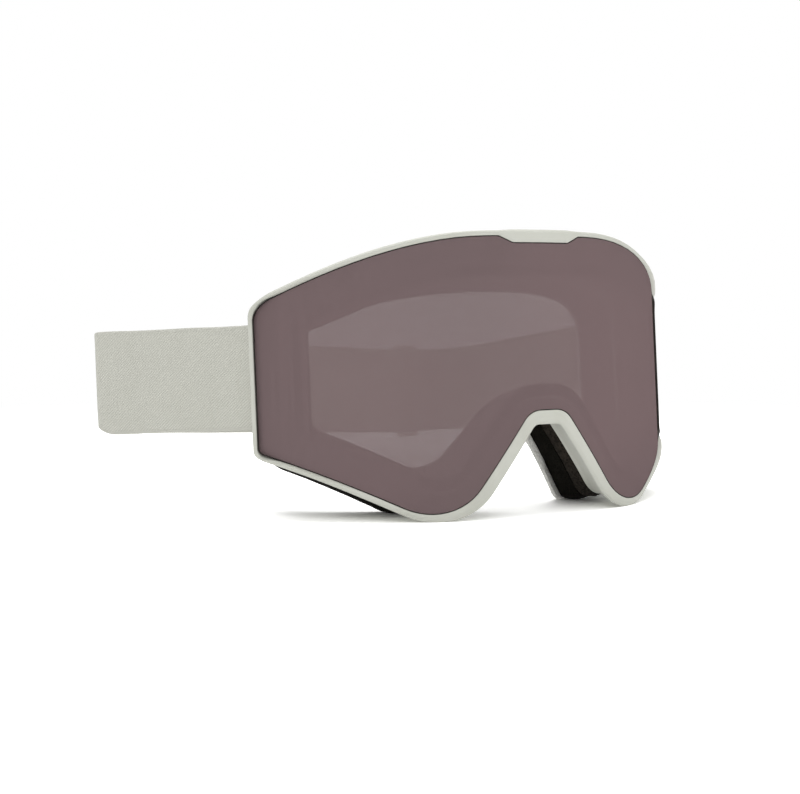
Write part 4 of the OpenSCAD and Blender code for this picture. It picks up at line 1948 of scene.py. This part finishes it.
    def settled(self, ahead: float, away: float) -> tuple[float, float]:
        """How the left band has settled at a place.

        Args:
            ahead: Distance past its bend, along the band.
            away: Distance from its pin.

        Returns:
            How far its lower edge folds up, and its widening to each millimetre.
        """
        fold = self.fold[0] * math.exp(-((ahead / self.fold[1]) ** 2))
        spread = self.widen[0] * math.exp(-((ahead / self.widen[1]) ** 2))
        if ahead < 0:
            spread -= self.narrow[0] * (1 - smooth(away / self.narrow[1]))
        return fold, spread

    def band(self, side: Side) -> None:
        """Args:
            side: Which band.
        """
        s = self.shape
        line = self.line(side)
        section = self.section()
        half = s.strap_w / 2
        lengths = [0.0]
        for a, b in zip(line, line[1:]):
            lengths.append(lengths[-1] + math.dist(a[:2], b[:2]))
        bend = self.bend(side)
        near = min(range(len(line)), key=lambda i: (Vector(line[i][:2]) - bend).length)
        last = len(line) - 1
        name = side.name.lower()
        node = name + "_band"
        piece = Piece(name + "_strap_band", TwillWebbing(), "strap", stands_for=(node,))
        high, often = self.wave
        deep, along, across = self.ripple
        rings: list[Loop] = []
        for i, (x, y, z) in enumerate(line):
            a, b = line[max(0, i - 1)], line[min(last, i + 1)]
            d = Vector((b[0] - a[0], b[1] - a[1])).normalized()
            fold = spread = 0.0
            if side is Side.LEFT:
                away = math.dist((x, y), (-s.pin[0], s.pin[1]))
                fold, spread = self.settled(lengths[i] - lengths[near], away)
            at = lengths[i]
            wave = high * noise.noise(Vector((at * often, side.value * 3.0, 0.0)))
            ring = []
            for n, v in section:
                lift = v * spread
                if v < 0:
                    lift += fold * (-v / half) ** 3
                spot = Vector((at * along, v * across, side.value * 9.0))
                off = n + deep * noise.noise(spot)
                level = s.strap_z + z + v + lift + wave
                ring.append(s.stand((x - d.y * off, y + d.x * off, level)))
                piece.map_points.append((at * MM, v * MM))
            rings.append(ring)
        piece.add_rings(rings, closed=False)
        piece.make(60)

    def on_back(self, at: float, level: float, p: Point3) -> Point3:
        """Place a point given along, out of and up the back run, in metres."""
        spot = self.left_bend + self.back_u * (at + p[0]) + self.back_n * p[1]
        return self.shape.stand((spot.x, spot.y, self.shape.strap_z + level + p[2]))

    def on_ring(self, p: Point3) -> Point3:
        """Place a point given along, out of and up the adjuster."""
        return self.on_back(self.ring_at, -self.ring_sag, p)

    def adjuster(self) -> None:
        """Build the three-bar slider with rounded bars and rails."""
        sides = 20
        inner = self.shape.strap_w + self.ring_play
        turns = [2 * math.pi * k / sides for k in range(sides)]
        square, fit = self.bar_square, self.bar_fit
        piece = Piece("strap_adjuster", Moulding(), "slider", stands_for=("adjuster",))
        path = rounded_box(self.bar_x, (inner + self.rail) / 2, self.ring_corner, 5)
        rings: list[Loop] = []
        for i, (x, z) in enumerate(path):
            a, b = path[i - 1], path[(i + 1) % len(path)]
            d = Vector((b[0] - a[0], b[1] - a[1])).normalized()
            upright = abs(d.y)
            thick = self.bar_r * upright + self.rail / 2 * (1 - upright)
            ring = []
            for c in turns:
                e, f = (
                    math.copysign(abs(part) ** square, part) * size * fit
                    for part, size in ((math.cos(c), thick), (math.sin(c), self.bar_r))
                )
                ring.append(self.on_ring((x + d.y * e, self.ring_n + f, z - d.x * e)))
            rings.append(ring)
        piece.add_rings(rings)
        steps, reach = 8, inner / 2 + self.middle_in
        bar: list[Loop] = []
        for k in range(steps + 1):
            z = -reach + 2 * reach * k / steps
            waist = self.middle_waist * math.sin(math.pi * k / steps)
            r = self.middle_bar_r * (1.0 - waist)
            spokes = (ray(r, c) for c in turns)
            bar.append([self.on_ring((x, self.ring_n + y, z)) for x, y in spokes])
        piece.add_rings(bar, closed=False)
        piece.make(50)

    def keeper(self) -> None:
        """Build the loop that slides on the doubled strap and holds the tail."""
        s = self.shape
        inner_n = (2 * s.strap_t + self.gap + self.keeper_play[0]) / 2
        inner_z = (s.strap_w + self.keeper_play[1]) / 2
        wall, half = self.keeper_wall, self.keeper_half
        level = self.bend_rise + self.slope * self.keeper_at

        def loop(grow: float, u: float) -> Loop:
            """Lay one rounded rectangle round the strap.

            Args:
                grow: How far outside the opening.
                u: Place along the strap.

            Returns:
                The loop.
            """
            r = self.keeper_corner + max(0.0, grow) * 0.9
            box = rounded_box(inner_n + grow, inner_z + grow, r, 4)
            spots = ((u, self.ring_n + n, z) for n, z in box)
            return [self.on_back(self.keeper_at, level, spot) for spot in spots]

        piece = Piece(
            "strap_tail_keeper",
            Moulding(),
            "slider",
            "keeper",
            stands_for=("tail_keeper",),
        )
        section = (
            (0.25, -half),
            (0.0, -half + 0.25),
            (0.0, half - 0.25),
            (0.25, half),
            (wall - 0.35, half),
            (wall - 0.1, half - 0.12),
            (wall, half - 0.4),
            (wall * 0.93, 0.0),
            (wall, -half + 0.4),
            (wall - 0.1, -half + 0.12),
            (wall - 0.35, -half),
        )
        piece.add_rings([loop(grow, u) for grow, u in section])
        piece.make(40)

    def stitch(
        self, piece: Piece, place: Callable[[Point3], Point3], at: float
    ) -> None:
        """Add one zigzag of thread across the strap.

        Args:
            piece: The piece that gets the mesh.
            place: Puts a point, given along, out of and up the strap, in its place.
            at: Distance along the strap.
        """
        steps, half = self.stitch_steps, self.stitch_half
        wide, high = self.thread_r
        path = []
        for k in range(steps + 1):
            swing = self.stitch_swing if k % 2 else -self.stitch_swing
            path.append((at + swing, -half + 2 * half * k / steps))
        rings = []
        for i, (u, z) in enumerate(path):
            a, b = path[max(0, i - 1)], path[min(steps, i + 1)]
            d = Vector((b[0] - a[0], b[1] - a[1])).normalized()
            ring = []
            for k in range(6):
                e, f = ray(1.0, 2 * math.pi * k / 6)
                ring.append(place((u - d.y * wide * e, high * f, z + d.x * wide * e)))
            rings.append(ring)
        piece.add_rings(rings, closed=False)

    def stitches(self) -> None:
        """Build the zigzag rows that hold the sewn ends."""
        s = self.shape
        piece = Piece("strap_bartacks", Thread(), "thread", stands_for=("bartacks",))
        out = s.strap_t * 1.5 + self.gap + self.thread_off
        for side in Side:
            start, u, n = self.run(side)

            def near_pin(
                p: Point3, start: Vector = start, u: Vector = u, n: Vector = n
            ) -> Point3:
                """A point on the inside of the sewn end at a pin."""
                spot = start + u * p[0] - n * (out + p[1])
                return s.stand((spot.x, spot.y, s.strap_z + p[2]))

            for at in self.pin_stitches:
                self.stitch(piece, near_pin, at)

        def near_ring(p: Point3) -> Point3:
            """A point on the inside of the sewn end at the adjuster."""
            return self.on_ring((p[0], -(out + p[1]), p[2]))

        for at in self.ring_stitches:
            self.stitch(piece, near_ring, at)
        piece.make(60)

    def build(self) -> None:
        """Build the bands, the stitches, the adjuster and the keeper."""
        self.adjuster()
        self.band(Side.LEFT)
        self.band(Side.RIGHT)
        self.stitches()
        self.keeper()


# Studio


@dataclass(frozen=True)
class Lamp:
    """A soft square lamp, in metres and watts."""

    name: str
    place: Point3
    aim: Point3
    size: float
    power: float

    def hang(self) -> None:
        """Add the lamp to the scene."""
        data = bpy.data.lights.new(self.name, "AREA")
        data.shape = "RECTANGLE"
        data.size = data.size_y = self.size
        data.energy = self.power
        lamp = put(self.name, data)
        lamp.location = Vector(self.place)
        lamp.rotation_mode = "QUATERNION"
        way = Vector(self.aim) - Vector(self.place)
        lamp.rotation_quaternion = way.to_track_quat("-Z", "Y")


@dataclass
class Studio:
    """Pale floor, soft light and the camera of the photograph."""

    focal_px: float = 1807.0
    sensor: float = 36.0
    place: Point3 = (-0.3900, -0.59664, 0.0808)
    azimuth: float = -33.625
    elevation: float = 3.6
    roll: float = -0.04
    ambient: float = 0.59
    bounce: float = 0.2
    floor_r: float = 8.0
    floor_sides: int = 48
    floor_level: float = 0.92
    floor_lift: float = 0.6
    fade: Point2 = (0.2, 0.55)
    lamps: tuple[Lamp, ...] = (
        Lamp("key", (-1.1, -1.3, 1.6), (0.0, -0.03, 0.05), 1.4, 12.5),
        Lamp("fill", (1.4, -0.9, 0.9), (0.0, 0.0, 0.05), 1.2, 6.0),
        Lamp("top", (0.0, 0.3, 1.8), (0.0, 0.0, 0.0), 1.6, 24.0),
    )

    def camera(self) -> None:
        """Set the camera where the photograph was taken from."""
        data = bpy.data.cameras.new("camera")
        data.sensor_width = self.sensor
        data.lens = self.focal_px / PICTURE_WIDTH * self.sensor
        data.clip_start, data.clip_end = 0.01, 20.0
        camera = put("camera", data)
        a, e = math.radians(self.azimuth), math.radians(self.elevation)
        level = math.cos(e)
        back = Vector((math.sin(a) * level, -math.cos(a) * level, math.sin(e)))
        turn = (-back).to_track_quat("-Z", "Y").to_matrix()
        spin = Matrix.Rotation(math.radians(self.roll), 3, "Z")
        stand = Matrix.Translation(Vector(self.place))
        camera.matrix_world = stand @ (turn @ spin).to_4x4()
        bpy.context.scene.camera = camera

    def world(self) -> None:
        """Light evenly from all round, and show white where nothing stands."""
        world = bpy.data.worlds.new("studio")
        bpy.context.scene.world = world
        graph = Graph(world)
        path = graph.node("ShaderNodeLightPath")
        seen = Value(graph, path.outputs["Is Camera Ray"])
        for kind in ("Is Transmission Ray", "Is Glossy Ray"):
            seen = seen.largest(Value(graph, path.outputs[kind]))
        soft = graph.light("ShaderNodeBackground", self.ambient)
        white = graph.light("ShaderNodeBackground", 1.0)
        graph.show(graph.mixed(seen, soft, white))

    def floor(self) -> None:
        """Lay the pale floor, with the shadow near the part and plain white far off."""
        mesh = bpy.data.meshes.new("floor")
        turn = 2 * math.pi / self.floor_sides
        rim = [(*ray(self.floor_r, turn * k), 0.0) for k in range(self.floor_sides)]
        mesh.from_pydata(rim, [], [tuple(range(self.floor_sides))])
        paper = bpy.data.materials.new("floor_paper")
        graph = Graph(paper)
        matt = graph.matt(self.floor_level)
        lit = graph.summed(matt, graph.light("ShaderNodeEmission", self.bounce))
        shown = graph.summed(matt, graph.matt(self.floor_lift))
        path = graph.node("ShaderNodeLightPath")
        camera = Value(graph, path.outputs["Is Camera Ray"])
        plain = (1 - Value(graph, path.outputs["Transparent Depth"])).largest(0.0)
        near = graph.mixed(camera * plain, lit, shown)
        reach = graph.node(
            "ShaderNodeVectorMath", {"operation": "LENGTH"}, {0: graph.place()}
        )
        far = Value(graph, reach.outputs["Value"]).between(*self.fade)
        white = graph.light("ShaderNodeEmission", 1.0)
        graph.show(graph.mixed(camera * far, near, white))
        mesh.materials.append(paper)
        put("floor", mesh)

    def build(self) -> None:
        """Set up light, floor and camera."""
        self.camera()
        self.world()
        for lamp in self.lamps:
            lamp.hang()
        self.floor()
        bpy.context.scene.view_settings.view_transform = "Standard"


def main() -> None:
    """Build the goggles."""
    logging.basicConfig(level=logging.INFO, format="%(name)s %(message)s", force=True)
    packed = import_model()
    shape = MaskShape()
    shape.settle()
    LensUnit(shape).build(packed["nodes"])
    Frame(shape).build(packed["nodes"])
    FaceFoam(shape).build()
    Strap(shape).build()
    Studio().build()


if __name__ == "__main__":
    main()
